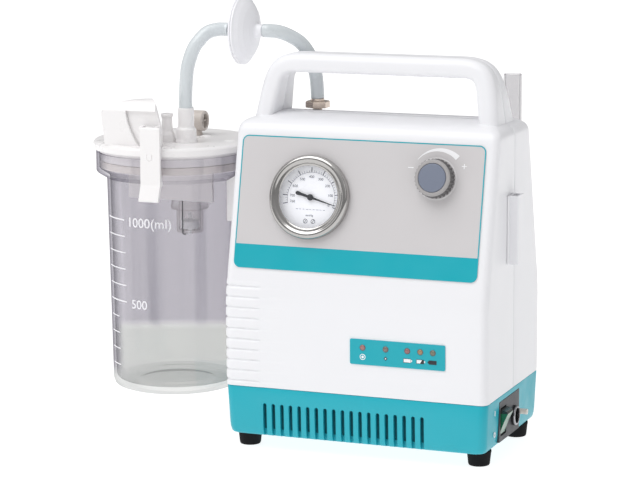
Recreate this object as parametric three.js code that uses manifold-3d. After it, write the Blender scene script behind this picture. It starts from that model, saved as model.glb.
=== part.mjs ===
// Portable suction pump: a white two-shell housing with an integral carrying handle on a
// vented base tray, a vacuum gauge and regulator on the leaning front panel, and a clear
// one-litre collection jar hung from the left side, joined to the pump by a silicone hose
// with an in-line filter.  Millimetres, +Z up, front towards -Y.
import * as THREE from 'three';
import { mergeVertices } from 'three/addons/utils/BufferGeometryUtils.js';
import Module from 'manifold-3d';

const wasm = await Module();
wasm.setup();

// ---------------------------------------------------------------- driving dimensions
const GAP = 0.3;                     // clearance between touching pieces
const FOOT_H = 11.3;                 // rubber feet
const FOOT_X = 93, FOOT_Y = 46.6;
const HALF_W = 105;                  // housing half width
const CORNER_R = 6;                  // upright edges
const WALL = 3;                      // moulded wall
const TRAY_BOTTOM = 11.6, TRAY_TOP = 49.7;
const SHELL_BOTTOM = 50.0;
const PANEL_Y0 = -66.5, PANEL_Z0 = 125, PANEL_SLOPE = 0.2236;   // leaning front plane
const PANEL_TILT = Math.PI / 2 - Math.atan(PANEL_SLOPE);
const FLAT_Y = 67.6;                 // upright part of the front and rear, z 60..110
const SPLIT = 0.15;                  // half the gap on the parting plane y = 0
const GAUGE = { x: -40, z: 196, rCase: 29, rBezel: 32, rWindow: 25.2 };
const KNOB = { x: 58.8, z: 214.5, r: 13.8, h: 10.6 };
const JAR = { x: -175.7, rBottom: 51.0, rTop: 53.3, zBottom: 31.9, zNeck: 199.1, wall: 2.4, rCollar: 61.5, zCollar0: 204.5, zCollar1: 219.8 };
const LID = { r: 63.7, z0: 222.2, z1: 228.5 };
const VAC_PORT = { x: -156, y: -20 };
const PATIENT_PORT = { x: -171.4, y: -22 };
const ELBOW = { x: -166.5, y: 22, z: 240.3 };
const HOSE_R = 5.3;
const NIPPLE = { x: -62, y: 21 };
const FILTER = { p: [-114.6, -2, 315.8], r: 26.7 };
const SOCKET = { proud: 113.4, z0: 148, z1: 200, y0: -17.5, y1: -3 };
const TUBE = { x: 78.8, y: 77.5, z0: 123.6, z1: 280.2, r: 7.1 };
const MOTOR = { y: 12, z: 70, r: 24, x0: 2, x1: 66 };
const CRANK = { throw: 3, x0: -14, x1: -3 };
// extents without the hose and filter, which put the origin under the middle of the box
const EXTENT_X = [JAR.x - LID.r, SOCKET.proud], EXTENT_Y = [-72.0, TUBE.y + 10.5];
const ORIGIN_X = (EXTENT_X[0] + EXTENT_X[1]) / 2, ORIGIN_Y = (EXTENT_Y[0] + EXTENT_Y[1]) / 2;

// ---------------------------------------------------------------- materials
const mat = (color, roughness, metalness = 0, opacity = 1) =>
  new THREE.MeshStandardMaterial({ color, roughness, metalness, transparent: opacity < 1, opacity });
const M = {
  shell: mat(0xf3f3f6, 0.35), teal: mat(0x38b8c8, 0.38), rubber: mat(0x17181b, 0.85), label: mat(0xcbc8c8, 0.45),
  labelTeal: mat(0x22b1c1, 0.4), steel: mat(0xc9c9cc, 0.22, 1), dial: mat(0xf4f4f4, 0.5), glass: mat(0xffffff, 0.05, 0, 0.25),
  needle: mat(0x15161a, 0.5), knob: mat(0x3e4248, 0.5), cap: mat(0x7d8494, 0.4), brass: mat(0xb9a99c, 0.3, 1),
  plate: mat(0x55545a, 0.55), green: mat(0x0c7d4c, 0.35), black: mat(0x16161a, 0.5), clear: mat(0xc9ccd6, 0.08, 0, 0.35),
  lid: mat(0xf6f4f5, 0.3), gasket: mat(0xc9c3bf, 0.6), beige: mat(0xd8d2cb, 0.4), hose: mat(0xd4dde8, 0.35, 0, 0.7),
  filter: mat(0xe6e9ee, 0.35), led: mat(0xa03a38, 0.3), board: mat(0x1f6b3a, 0.6), battery: mat(0x3a3d44, 0.6),
  motor: mat(0x8f9196, 0.4, 0.8), cast: mat(0x9a9ca0, 0.55, 0.9), float: mat(0xe9ecf0, 0.4),
};

// ---------------------------------------------------------------- helpers
const V3 = (a) => new THREE.Vector3(...a);
function toManifold(geometry) {
  const g = geometry.clone();
  for (const k of Object.keys(g.attributes)) if (k !== 'position') g.deleteAttribute(k);
  const m = mergeVertices(g, 1e-4);
  const pos = new Float32Array(m.attributes.position.array);
  let tri = [];
  const idx = m.index.array;
  for (let i = 0; i < idx.length; i += 3) {
    if (idx[i] !== idx[i + 1] && idx[i + 1] !== idx[i + 2] && idx[i] !== idx[i + 2]) tri.push(idx[i], idx[i + 1], idx[i + 2]);
  }
  let vol = 0;
  for (let i = 0; i < tri.length; i += 3) {
    const [a, b, c] = [tri[i] * 3, tri[i + 1] * 3, tri[i + 2] * 3];
    vol += pos[a] * (pos[b + 1] * pos[c + 2] - pos[b + 2] * pos[c + 1])
      - pos[a + 1] * (pos[b] * pos[c + 2] - pos[b + 2] * pos[c])
      + pos[a + 2] * (pos[b] * pos[c + 1] - pos[b + 1] * pos[c]);
  }
  if (vol < 0) for (let i = 0; i < tri.length; i += 3) [tri[i + 1], tri[i + 2]] = [tri[i + 2], tri[i + 1]];
  return new wasm.Manifold(new wasm.Mesh({ numProp: 3, vertProperties: pos, triVerts: new Uint32Array(tri) }));
}
function toGeometry(manifold) {
  const m = manifold.getMesh();
  const g = new THREE.BufferGeometry();
  const n = m.vertProperties.length / m.numProp, p = new Float32Array(n * 3);
  for (let i = 0; i < n; i++) for (let k = 0; k < 3; k++) p[i * 3 + k] = m.vertProperties[i * m.numProp + k];
  g.setAttribute('position', new THREE.BufferAttribute(p, 3));
  g.setIndex(new THREE.BufferAttribute(new Uint32Array(m.triVerts), 1));
  g.computeVertexNormals();
  return g;
}
const move = (g, x, y, z) => g.translate(x, y, z);
const box = (x0, x1, y0, y1, z0, z1) =>
  toManifold(move(new THREE.BoxGeometry(x1 - x0, y1 - y0, z1 - z0), (x0 + x1) / 2, (y0 + y1) / 2, (z0 + z1) / 2));
// a turned solid about +Z; the profile is [radius, height] and starts and ends on the axis or closes on itself
const turned = (profile, seg = 32) => {
  const g = new THREE.LatheGeometry(profile.map(([r, h]) => new THREE.Vector2(r, h)), seg);
  g.rotateX(Math.PI / 2);
  return toManifold(g);
};
const ring = (profile, seg = 32) => turned([...profile, profile[0]], seg);
const rod = (r, z0, z1, seg = 24, x = 0, y = 0) => {
  const g = new THREE.CylinderGeometry(r, r, z1 - z0, seg); g.rotateX(Math.PI / 2); return toManifold(move(g, x, y, (z0 + z1) / 2));
};
const shapeOf = (pts) => new THREE.Shape(pts.map(([x, y]) => new THREE.Vector2(x, y)));
const extrudeZ = (pts, z0, z1) => toManifold(move(new THREE.ExtrudeGeometry(shapeOf(pts), { depth: z1 - z0, bevelEnabled: false }), 0, 0, z0));
// an outline in X-Z carried along Y
const extrudeY = (pts, y0, y1) => {
  const g = new THREE.ExtrudeGeometry(shapeOf(pts), { depth: y1 - y0, bevelEnabled: false }); g.rotateX(Math.PI / 2); return toManifold(move(g, 0, y1, 0));
};
// an outline in Y-Z carried along X
const extrudeX = (pts, x0, x1) => {
  const g = new THREE.ExtrudeGeometry(shapeOf(pts), { depth: x1 - x0, bevelEnabled: false });
  g.applyMatrix4(new THREE.Matrix4().set(0, 0, 1, 0, 1, 0, 0, 0, 0, 1, 0, 0, 0, 0, 0, 1)); return toManifold(move(g, x0, 0, 0));
};
const roundedRect = (hx, hy, r) => {
  const s = new THREE.Shape(), q = Math.PI / 2;
  s.moveTo(-hx + r, -hy); s.lineTo(hx - r, -hy); s.absarc(hx - r, -hy + r, r, -q, 0, false);
  s.lineTo(hx, hy - r); s.absarc(hx - r, hy - r, r, 0, q, false);
  s.lineTo(-hx + r, hy); s.absarc(-hx + r, hy - r, r, q, 2 * q, false);
  s.lineTo(-hx, -hy + r); s.absarc(-hx + r, -hy + r, r, 2 * q, 3 * q, false);
  return s;
};
// a rounded rectangle carried up through levels [z, half width, half depth]
const levelled = (levels, r = CORNER_R, seg = 3) => {
  const hx = Math.max(...levels.map((l) => l[1])), hy = Math.max(...levels.map((l) => l[2])), n = levels.length - 1;
  const g = new THREE.ExtrudeGeometry(roundedRect(hx, hy, r), { depth: n, steps: n, bevelEnabled: false, curveSegments: seg });
  const p = g.attributes.position;
  for (let i = 0; i < p.count; i++) {
    const [z, lx, ly] = levels[Math.round(p.getZ(i))], x = p.getX(i), y = p.getY(i);
    p.setXYZ(i, Math.sign(x) * (lx - (hx - Math.abs(x))), Math.sign(y) * (ly - (hy - Math.abs(y))), z);
  }
  return toManifold(g);
};
// a tube of round section along a smooth path
const tubeAlong = (pts, r, steps, sides = 10) => {
  const curve = new THREE.CatmullRomCurve3(pts.map(V3), false, 'centripetal');
  const s = new THREE.Shape(Array.from({ length: sides }, (_, i) => new THREE.Vector2(r * Math.cos(2 * Math.PI * i / sides), r * Math.sin(2 * Math.PI * i / sides))));
  return toManifold(new THREE.ExtrudeGeometry(s, { steps, bevelEnabled: false, extrudePath: curve }));
};
const panelHalfDepth = (z) => -(PANEL_Y0 + PANEL_SLOPE * (z - PANEL_Z0));

const part = new THREE.Group();
const all = new THREE.Group();
all.position.set(-ORIGIN_X, -ORIGIN_Y, 0);
part.add(all);
const put = (name, solid, material, parent = all) => {
  const mesh = new THREE.Mesh(toGeometry(solid), material);
  mesh.name = name;
  parent.add(mesh);
  return mesh;
};
// the leaning front panel: local X right, local Y up the slope, local Z out of the face
const panel = new THREE.Group();
panel.position.set(0, PANEL_Y0, PANEL_Z0);
panel.rotation.x = PANEL_TILT;
all.add(panel);
const up = (z) => (z - PANEL_Z0) * Math.hypot(1, PANEL_SLOPE);
panel.updateMatrix();
const onPanel = (solid) => { const g = toGeometry(solid); g.applyMatrix4(panel.matrix); return toManifold(g); };

// ---------------------------------------------------------------- housing shells with the handle arch
const outer = levelled([[SHELL_BOTTOM, HALF_W, 67.0], [60, HALF_W, FLAT_Y], [110, HALF_W, FLAT_Y], [128, HALF_W, panelHalfDepth(128)],
  [243, HALF_W, panelHalfDepth(243)], [247.5, 104.0, 38.2], [250.5, 101.6, 34.6], [252.6, 98.5, 29.5], [254, 94, 22], [254.7, 90, 14]]);
const inner = levelled([[SHELL_BOTTOM - 2, HALF_W - WALL, 64.0], [60, HALF_W - WALL, FLAT_Y - WALL], [110, HALF_W - WALL, FLAT_Y - WALL],
  [128, HALF_W - WALL, panelHalfDepth(128) - WALL], [240, HALF_W - WALL, panelHalfDepth(240) - WALL], [248.5, 98.5, 31.5], [251.5, 88, 14]], 3.5, 2);
const mirrored = (half) => [...half, ...half.slice().reverse().map(([x, z]) => [-x, z])];
const archOuter = mirrored([[-98.3, 246], [-97, 253], [-95, 269], [-93, 279], [-90.6, 286.5], [-86.8, 292.5], [-80.5, 297], [-72, 299.6], [-62, 300.4]]);
const archHole = mirrored([[-85.5, 240], [-84, 250], [-82, 257], [-79, 273], [-77.4, 280.3], [-73.7, 284.2], [-67.5, 285.5]]);
const archCore = mirrored([[-95.3, 246], [-94, 253], [-92, 268.5], [-90, 278], [-87.8, 284.8], [-84.3, 290.2], [-79, 294.2], [-71.6, 296.7], [-62, 297.4]]);
const coreHole = mirrored([[-89, 240], [-87, 250], [-85, 257.5], [-82, 273.6], [-80.2, 281.4], [-75.4, 287], [-68, 288.5]]);
const wedge = (w0, w1, z1) => extrudeX([[-w0, 246], [w0, 246], [w1, z1 - 4.6], [w1 - 2.2, z1 - 2], [w1 - 6, z1 - 0.5], [0, z1], [6 - w1, z1 - 0.5], [2.2 - w1, z1 - 2], [-w1, z1 - 4.6]], -110, 110);
const arch = extrudeY(archOuter, -26, 26).intersect(wedge(24.6, 12.1, 300.4)).subtract(extrudeY(archHole, -30, 30));
const archInside = extrudeY(archCore, -26, 26).intersect(wedge(21.6, 9.1, 297.4)).subtract(extrudeY(coreHole, -30, 30));
const casing = outer.add(arch.subtract(box(-120, 120, -40, 40, 200, 247.2))).subtract(inner.add(archInside));
const nippleHole = rod(4.2, 245, 262, 16, NIPPLE.x, NIPPLE.y);
const gaugeHole = onPanel(rod(GAUGE.rCase + 0.4, -12, 8, 28, GAUGE.x, up(GAUGE.z)));
const valveHole = onPanel(rod(4.2, -12, 8, 16, KNOB.x, up(KNOB.z)));
let grooves = null;                                                 // grip ribs on the front left corner
for (let i = 0; i < 10; i++) {
  const z = 127 - 8.1 * i, hy = z > 110 ? 64.6 + (128 - z) * 0.03 : FLAT_Y - 0.8;
  const cut = box(-110, -77, -75, -Math.min(hy, 66.8), z - 0.6, z + 0.6).add(box(-110, -104.2, -75, -30, z - 0.6, z + 0.6));
  grooves = grooves ? grooves.add(cut) : cut;
}
put('front_shell', casing.intersect(box(-130, 130, -90, -SPLIT, 0, 320)).subtract(gaugeHole).subtract(valveHole).subtract(grooves), M.shell);
put('rear_shell', casing.intersect(box(-130, 130, SPLIT, 90, 0, 320)).subtract(nippleHole), M.shell);

// ---------------------------------------------------------------- base tray with vent slots, and what sits in its side
const trayOut = levelled([[TRAY_BOTTOM, 100.4, 62.8], [12.9, 102.5, 64.9], [15.8, 103.5, 65.9], [TRAY_TOP, HALF_W, 67.0]]);
const trayIn = levelled([[15.6, 100.2, 62.6], [TRAY_TOP + 1, 102.0, 64.0]], 3.5, 2);
let vents = null;
for (let i = 0; i < 19; i++) {
  const x = -72.5 + (54.5 + 72.5) * i / 18;
  const cut = box(x - 1.25, x + 1.25, -70, -61.6, 12.6, 37.5);
  vents = vents ? vents.add(cut) : cut;
}
const sidePocket = box(96, 110, -34.8, 15.7, 14.1, 45.8);
const screwHoles = [[-1, -1], [1, -1], [-1, 1], [1, 1]].map(([sx, sy]) => rod(2.4, 8, 20, 10, sx * 74, sy * 50)).reduce((a, b) => a.add(b));
put('base_tray', trayOut.subtract(trayIn).subtract(vents).subtract(sidePocket).subtract(screwHoles), M.teal);
for (const [n, sx, sy] of [['front_left', -1, -1], ['front_right', 1, -1], ['rear_left', -1, 1], ['rear_right', 1, 1]]) {
  const foot = put('foot_' + n, turned([[0, 0], [5.9, 0], [6.6, 0.7], [9.3, FOOT_H], [0, FOOT_H]], 16), M.rubber);
  foot.position.set(sx * FOOT_X, sy * FOOT_Y, 0);
  const screw = put('case_screw_' + n, turned([[0, 9.2], [3.8, 9.6], [3.8, 11.2], [2.0, 11.25], [2.0, 34], [0, 34]], 8), M.steel);
  screw.position.set(sx * 74, sy * 50, 0);
}
// switch and inlet plate in the right side of the tray
const rockerSlot = box(96, 110, -31.6, -17.4, 18.6, 40.4);
const alongX = (solid, x, y, z) => { const g = toGeometry(solid); g.rotateY(Math.PI / 2); g.translate(x, y, z); return toManifold(g); };
put('switch_plate', box(101.5, 105.0, -34.4, 15.3, 14.5, 45.4).subtract(rockerSlot).subtract(alongX(rod(7.2, -10, 10, 16), 103, 2.2, 27.4))
  .subtract(alongX(rod(1.9, -10, 10, 10), 103, 12.4, 28.4)), M.plate);
put('power_inlet', alongX(turned([[0, -14], [6.9, -14], [6.9, 2.3], [7.8, 2.3], [7.8, 3.6], [6.3, 3.6], [6.3, -3], [1.0, -3], [1.0, 1.5], [0, 1.5]], 16), 103, 2.2, 27.4), M.black);
put('earth_stud', alongX(turned([[0, -8], [1.6, -8], [1.6, 2.3], [2.2, 2.3], [2.2, 9.6], [0, 10.2]], 12), 103, 12.4, 28.4), M.steel);
put('switch_housing', extrudeY([[88, 19.2], [96.6, 19.2], [96.6, 39.8], [88, 39.8]], -31.3, -17.7), M.black);
put('power_rocker', extrudeY([[98.5, 24.5], [98.5, 34.5], [101, 39.8], [104.5, 39.6], [109.8, 38.2], [110.6, 36.4], [107.2, 29], [104.9, 22.6], [104.4, 20.0], [101, 19.2]], -31.1, -17.9), M.green);

// ---------------------------------------------------------------- side sockets that take a jar hanger
const socket = (s) => {
  const o = HALF_W + GAP, p = SOCKET.proud;
  const plan = [[s * o, SOCKET.y0 - 1.5], [s * (o + 1.2), SOCKET.y0], [s * (p - 0.8), SOCKET.y0], [s * p, SOCKET.y0 + 0.8], [s * p, SOCKET.y1], [s * o, SOCKET.y1]];
  return extrudeZ(plan, SOCKET.z0, SOCKET.z1).subtract(box(s > 0 ? 107.1 : -111.7, s > 0 ? 111.7 : -107.1, -15.4, -5.1, SOCKET.z0 - 5, SOCKET.z1 + 5));
};
put('side_socket_right', socket(1), M.shell);
put('side_socket_left', socket(-1), M.shell);

// ---------------------------------------------------------------- front panel
const circleHole = (x, y, r, n = 12) => new THREE.Path(Array.from({ length: n }, (_, i) => new THREE.Vector2(x + r * Math.cos(2 * Math.PI * i / n), y - r * Math.sin(2 * Math.PI * i / n))));
const labelShape = roundedRect(97.2, (up(240) - up(141.3)) / 2, 5);
labelShape.holes.push(circleHole(GAUGE.x + 1.2, up(GAUGE.z) - (up(240) + up(141.3)) / 2, GAUGE.rCase + 0.8, 28), circleHole(KNOB.x + 1.2, up(KNOB.z) - (up(240) + up(141.3)) / 2, 16.5, 18));
put('front_label', toManifold(move(new THREE.ExtrudeGeometry(labelShape, { depth: 0.5, bevelEnabled: false, curveSegments: 6 }), -1.2, (up(240) + up(141.3)) / 2, GAP)), M.label, panel);
const gauge = new THREE.Group(); gauge.position.set(GAUGE.x, up(GAUGE.z), 0); panel.add(gauge);
put('gauge_case', turned([[0, -24], [GAUGE.rCase, -24], [GAUGE.rCase, 4.2], [27.6, 4.2], [27.6, -2.2], [0, -2.2]], 28), M.steel, gauge);
put('gauge_bezel', ring([[29.4, 1.1], [GAUGE.rBezel, 1.1], [GAUGE.rBezel, 4.2], [30.4, 6.5], [27, 6.8], [GAUGE.rWindow, 5.4], [29.4, 4.6]], 28), M.steel, gauge);
put('gauge_dial', ring([[1.3, -1.8], [27.3, -1.8], [27.3, -1.0], [1.3, -1.0]], 28), M.dial, gauge);
put('gauge_glass', turned([[0, 3.3], [27.2, 3.3], [27.2, 4.4], [0, 4.4]], 28), M.glass, gauge);
const needleAngle = THREE.MathUtils.degToRad(-20.4);
const needle = extrudeZ([[-10.5, -1.5], [-9, -1.9], [0, -0.9], [19.6, -0.25], [19.6, 0.25], [0, 0.9], [-9, 1.9], [-10.5, 1.5]], 0.2, 0.9)
  .add(turned([[0, -1.9], [1.0, -1.9], [1.0, 0], [2.9, 0], [2.9, 1.5], [2.2, 2.0], [0, 2.0]], 16));
put('gauge_needle', needle, M.needle, gauge).rotation.z = needleAngle;

const reg = new THREE.Group(); reg.position.set(KNOB.x, up(KNOB.z), 0); panel.add(reg);
put('regulator_valve', turned([[0, -26], [9, -26], [9, -3.4], [3.4, -3.4], [3.4, -12.6], [0, -12.6]], 6), M.brass, reg);
put('regulator_stem', turned([[0, -12.2], [2.8, -12.2], [2.8, 5.4], [0, 5.4]], 12), M.steel, reg);
const flutes = Array.from({ length: 36 }, (_, i) => { const a = 2 * Math.PI * i / 36, r = KNOB.r - (i % 2 ? 0.55 : 0); return [r * Math.cos(a), r * Math.sin(a)]; });
put('regulator_knob', extrudeZ(flutes, 0.6, 8.6).add(turned([[0, 5], [13.0, 5], [13.0, 9.2], [12.2, KNOB.h], [10.8, KNOB.h], [10.8, 9.4], [0, 9.4]], 18)).subtract(rod(3.1, -5, 5.8, 10)), M.knob, reg);
put('knob_cap', turned([[0, 9.7], [10.5, 9.7], [10.5, 10.5], [10.0, 11.0], [0, 11.3]], 18), M.cap, reg);

// indicator label and the lamp strip behind it, on the upright lower front
const ledHoles = [8.2, 26.5, 43.6, 53.8, 63.7], ledZ = 87.5, ledMid = [35.65, 84.1];
const ledShape = roundedRect(37.65, 9.7, 1.0);
for (const x of ledHoles) ledShape.holes.push(circleHole(x - ledMid[0], ledZ - ledMid[1], 2.5, 10));
const ledLabel = new THREE.ExtrudeGeometry(ledShape, { depth: 0.5, bevelEnabled: false, curveSegments: 4 });
ledLabel.rotateX(Math.PI / 2); ledLabel.translate(ledMid[0], -FLAT_Y - GAP, ledMid[1]);
put('indicator_label', toManifold(ledLabel), M.labelTeal);
const alongY = (solid, x, y, z) => { const g = toGeometry(solid); g.rotateX(Math.PI / 2); g.translate(x, y, z); return toManifold(g); };
let lamps = box(2, 70, -63.9, -62.4, 83, 92);
let lampHoles = null;
for (const x of ledHoles) {
  lamps = lamps.add(alongY(turned([[0, -1], [2.2, -1], [2.2, 5.0], [0, 5.9]], 8), x, -62.9, ledZ));
  const h = alongY(rod(2.6, -3, 6, 8), x, -66, ledZ);
  lampHoles = lampHoles ? lampHoles.add(h) : h;
}
const frontShell = all.children.find((c) => c.name === 'front_shell');
frontShell.geometry = toGeometry(toManifold(frontShell.geometry).subtract(lampHoles));
put('indicator_lamps', lamps, M.led);

// ---------------------------------------------------------------- hose nipple on the top
const nip = put('hose_nipple', turned([[0, 244], [3.6, 244], [3.6, 255.2], [0, 255.2]], 16)
  .add(turned([[0, 255.1], [9.6, 255.1], [9.6, 259.6], [8.6, 260.3], [0, 260.3]], 6)).add(rod(5.2, 260, 262, 20)), M.brass);
nip.position.set(NIPPLE.x, NIPPLE.y, 0);

// ---------------------------------------------------------------- collection jar, hanger and lid
const jarGroup = new THREE.Group(); jarGroup.position.set(JAR.x, 0, 0); all.add(jarGroup);
const w = JAR.wall;
put('jar', turned([[0, 35.2], [30, 35.2], [34, 32.4], [45.5, JAR.zBottom], [49.3, 33.2], [JAR.rBottom, 36.8], [JAR.rTop, JAR.zNeck], [JAR.rCollar - 0.8, 203.7], [JAR.rCollar, JAR.zCollar0],
  [JAR.rCollar, JAR.zCollar1], [JAR.rCollar - w, JAR.zCollar1], [JAR.rCollar - w, 206.6], [JAR.rTop - w, 201.0], [JAR.rBottom - w, 39.5], [46, 37.6], [36, 37.4], [32, 38.6], [0, 38.6]], 28), M.clear, jarGroup);
const jarOuter = turned([[0, 100], [52.2, 100], [JAR.rTop + GAP, JAR.zNeck], [JAR.rTop + GAP, 203], [0, 203]], 56);
const hanger = box(52.1, 61.7, -16.5, -4, 168, 203.4).add(box(61.2, 68.1, -14.9, -5.6, SOCKET.z1 + 0.5, 203.4)).add(box(64.5, 68.1, -14.9, -5.6, 160, 203.4))
  .subtract(jarOuter).subtract(turned([[0, 198.9], [JAR.rTop + 0.4, 198.9], [JAR.rCollar - 0.5, 203.4], [JAR.rCollar + GAP, 204.2], [JAR.rCollar + GAP, 230], [0, 230]], 56));
put('jar_hanger', hanger, M.lid, jarGroup);
const lidHoles = rod(4.0, 200, 240, 12, VAC_PORT.x - JAR.x, VAC_PORT.y).add(rod(3.2, 200, 240, 10, PATIENT_PORT.x - JAR.x, PATIENT_PORT.y))
  .add(rod(3.2, 200, 240, 10, ELBOW.x - JAR.x, ELBOW.y));
put('lid', turned([[0, 225.2], [54.5, 225.2], [55.5, 224], [55.5, 213.2], [58.4, 213.2], [58.4, LID.z0], [LID.r, LID.z0], [LID.r, 226.4], [LID.r - 1.8, LID.z1], [0, 228.8]], 32).subtract(lidHoles), M.lid, jarGroup);
put('lid_gasket', ring([[55, 207.2], [58.4, 207.2], [58.4, 212.9], [55, 212.9]], 28), M.gasket, jarGroup);
// ports stand on the lid's top face, 0.3 above it
const top = 229.1;
const vac = put('vacuum_port', ring([[3.0, top], [8.4, top], [8.0, 231.2], [8.0, 239.6], [6.3, 241.2], [6.3, 252.4], [3.0, 252.4]], 18), M.lid, jarGroup);
vac.position.set(VAC_PORT.x - JAR.x, VAC_PORT.y, 0);
const pat = put('patient_port', ring([[2.1, top], [5.3, top], [5.3, 232], [3.8, 237], [3.6, 248.6], [4.0, 249.6], [3.6, 251], [2.1, 251]], 12), M.lid, jarGroup);
pat.position.set(PATIENT_PORT.x - JAR.x, PATIENT_PORT.y, 0);
const elbowBody = rod(4.8, top, ELBOW.z, 12).add(alongX(rod(8.1, -8, 8.2, 16), 0, 0, ELBOW.z)).subtract(rod(3.0, top - 1, ELBOW.z, 10)).subtract(alongX(rod(5.6, -1, 14, 12), 0, 0, ELBOW.z));
const elb = put('spare_port', elbowBody, M.beige, jarGroup); elb.position.set(ELBOW.x - JAR.x, ELBOW.y, 0);
// hood over the latch: roof, fin on the left, front plate on the right and a back wall
const L = (pts) => pts.map(([x, y]) => [x - JAR.x, y]);
const hoodFront = L([[-210, top], [-211.6, 240], [-213.0, 253.4], [-211.4, 257.2], [-204.5, 260.4], [-195, 262.5], [-184, 263.9], [-172, 264.4], [-168.8, 262.4], [-165.0, 250], [-163.4, 243], [-163.2, top]]);
const hoodSide = [[-53.5, top], [-53.5, 255], [-51.5, 258.6], [-47, 262.8], [-42, 264.6], [-37, 263], [-34.5, 258], [-34.5, top]];
const hoodInSide = [[-60, 200], [-60, 252.6], [-51.6, 252.6], [-49.8, 256.4], [-46, 260.2], [-42, 261.8], [-30, 258], [-30, 200]];
const finEdge = L([[-181.5, 200], [-182.2, 229.6], [-187, 237], [-190.8, 246], [-192.2, 255.5], [-160, 255.5], [-160, 200]]);
const mold = extrudeY(hoodFront, -80, -20).intersect(extrudeX(hoodSide, -60, 60));
const hood = mold.subtract(box(-209.2 - JAR.x, -150 - JAR.x, -51.1, -20, 200, 280).intersect(extrudeX(hoodInSide, -60, 60))).subtract(extrudeY(finEdge, -75, -50.4))
  .subtract(extrudeZ(L([[-168.5, -48.2], [-177.5, -37], [-177.5, -20], [-150, -20], [-150, -48.2]]), 220, 290))
  .add(mold.intersect(box(-197 - JAR.x, -160 - JAR.x, -50.4, -48.2, top, 263))).intersect(rod(63.0, top, 280, 48));
const PIV = { y: -56.3, z: 242.6 };
const pinX = -170.0 - JAR.x;
const earAt = (x0, x1) => extrudeX([[-49.5, 239.6], [-49.5, 246], [-57, 245.6], [-59, 242.6], [-57, 239.6]], x0 - JAR.x, x1 - JAR.x).subtract(alongX(rod(1.35, -20, 20, 10), pinX, PIV.y, PIV.z));
put('latch_hood', hood.add(earAt(-178.4, -176.0)).add(earAt(-166.0, -163.6)), M.lid, jarGroup);
// the strap hangs from its pin in front of the lid's rim and reaches down past the jar's collar
const strapWide = extrudeX([[-66.4, 243.6], [-67.2, 242.6], [-67.2, 199], [-72.0, 186.5], [-69.9, 185.8], [-64.6, 198.5], [-62.2, 200.4], [-62.2, 203.2], [-64.4, 204.4], [-64.4, 243.6]], -176.7 - JAR.x, -160.2 - JAR.x);
const strapArm = extrudeX([[-65.5, 241.4], [-65.5, 243.6], [PIV.y, 244.7], [PIV.y, 240.5], [-58.6, 241.2]], -175.6 - JAR.x, -166.4 - JAR.x).add(alongX(rod(2.3, -4.6, 4.6, 12), -171.0 - JAR.x, PIV.y, PIV.z));
put('latch_strap', strapWide.add(strapArm).subtract(alongX(rod(1.35, -20, 20, 10), pinX, PIV.y, PIV.z)), M.lid, jarGroup);
put('latch_pin', alongX(rod(1.05, -8.3, 6.3, 10), pinX, PIV.y, PIV.z), M.steel, jarGroup);
// float shut-off under the lid
const SHUT_OFF = { x: -169.4, y: 14 };   // behind the splash plate
const cage = ring([[4.4, 224.8], [7.5, 224.8], [8, 206.4], [15, 174.4], [15, 170.9], [10.6, 170.9], [10.6, 146.4], [3.5, 146.4], [3.5, 150.6], [8.9, 150.6], [8.9, 172.9], [4.4, 199.4]], 16);
put('float_cage', cage, M.clear, jarGroup).position.set(SHUT_OFF.x - JAR.x, SHUT_OFF.y, 0);
put('float', turned([[0, 150.2], [1.4, 150.2], [1.4, 156.5], [6.8, 156.5], [7.2, 158], [7.2, 165], [1.6, 166.9], [1.6, 172], [0, 172.6]], 12), M.float, jarGroup).position.set(SHUT_OFF.x - JAR.x, SHUT_OFF.y, -5.6);
put('splash_plate', box(-208.6 - JAR.x, -139.5 - JAR.x, -4.8, -2.6, 180, 222).add(box(-192 - JAR.x, -160 - JAR.x, -14, -2.6, 222, 224.8)).subtract(box(-150 - JAR.x, -130 - JAR.x, -10, 10, 208, 230)).subtract(box(-212 - JAR.x, -206 - JAR.x, -10, 10, 216, 230)), M.lid, jarGroup);

// ---------------------------------------------------------------- hose and in-line filter
const fC = V3(FILTER.p);
const hoseLeft = [[VAC_PORT.x, VAC_PORT.y, 252.7], [-156.2, -20, 262], [-155.5, -20, 275], [-154.3, -19, 287.6], [-150.8, -16.5, 300.5], [-147.0, -13.5, 307.4], [-141.8, -9, 313.6], [-135.5, -5, 315.8], [-130.2, -2.2, 315.9], [-126.6, -2, 315.8]];
const hoseRight = [[-96.9, -2, 315.8], [-93.4, -1.8, 315.8], [-87.2, 3, 314.8], [-81.4, 8, 312], [-74.7, 14, 306.8], [-70.1, 18.2, 300], [-66.3, 20.8, 291], [-63.6, 21.4, 280.2], [-62.4, 21.1, 270.5], [NIPPLE.x, NIPPLE.y, 262.3]];
put('hose_left', tubeAlong(hoseLeft, HOSE_R, 15, 8), M.hose);
put('hose_right', tubeAlong(hoseRight, HOSE_R, 15, 8), M.hose);
// the filter's axis runs along X: a flat inlet side and a domed outlet side
const inletHalf = [[2.2, -0.15], [FILTER.r, -0.15], [FILTER.r, -1.5], [24.4, -2.6], [8, -4.4], [5, -5.2], [5, -11.2], [2.2, -11.2]];
const outletHalf = [[2.2, 0.15], [FILTER.r, 0.15], [FILTER.r, 1.5], [24.4, 3.2], [19.5, 7.0], [12, 10.2], [5.2, 11.4], [5, 16.9], [2.2, 16.9]];
for (const [n, prof] of [['filter_inlet_half', inletHalf], ['filter_outlet_half', outletHalf]]) {
  const f = put(n, ring(prof, 24), M.filter); f.position.copy(fC); f.rotation.y = Math.PI / 2;
}

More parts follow.
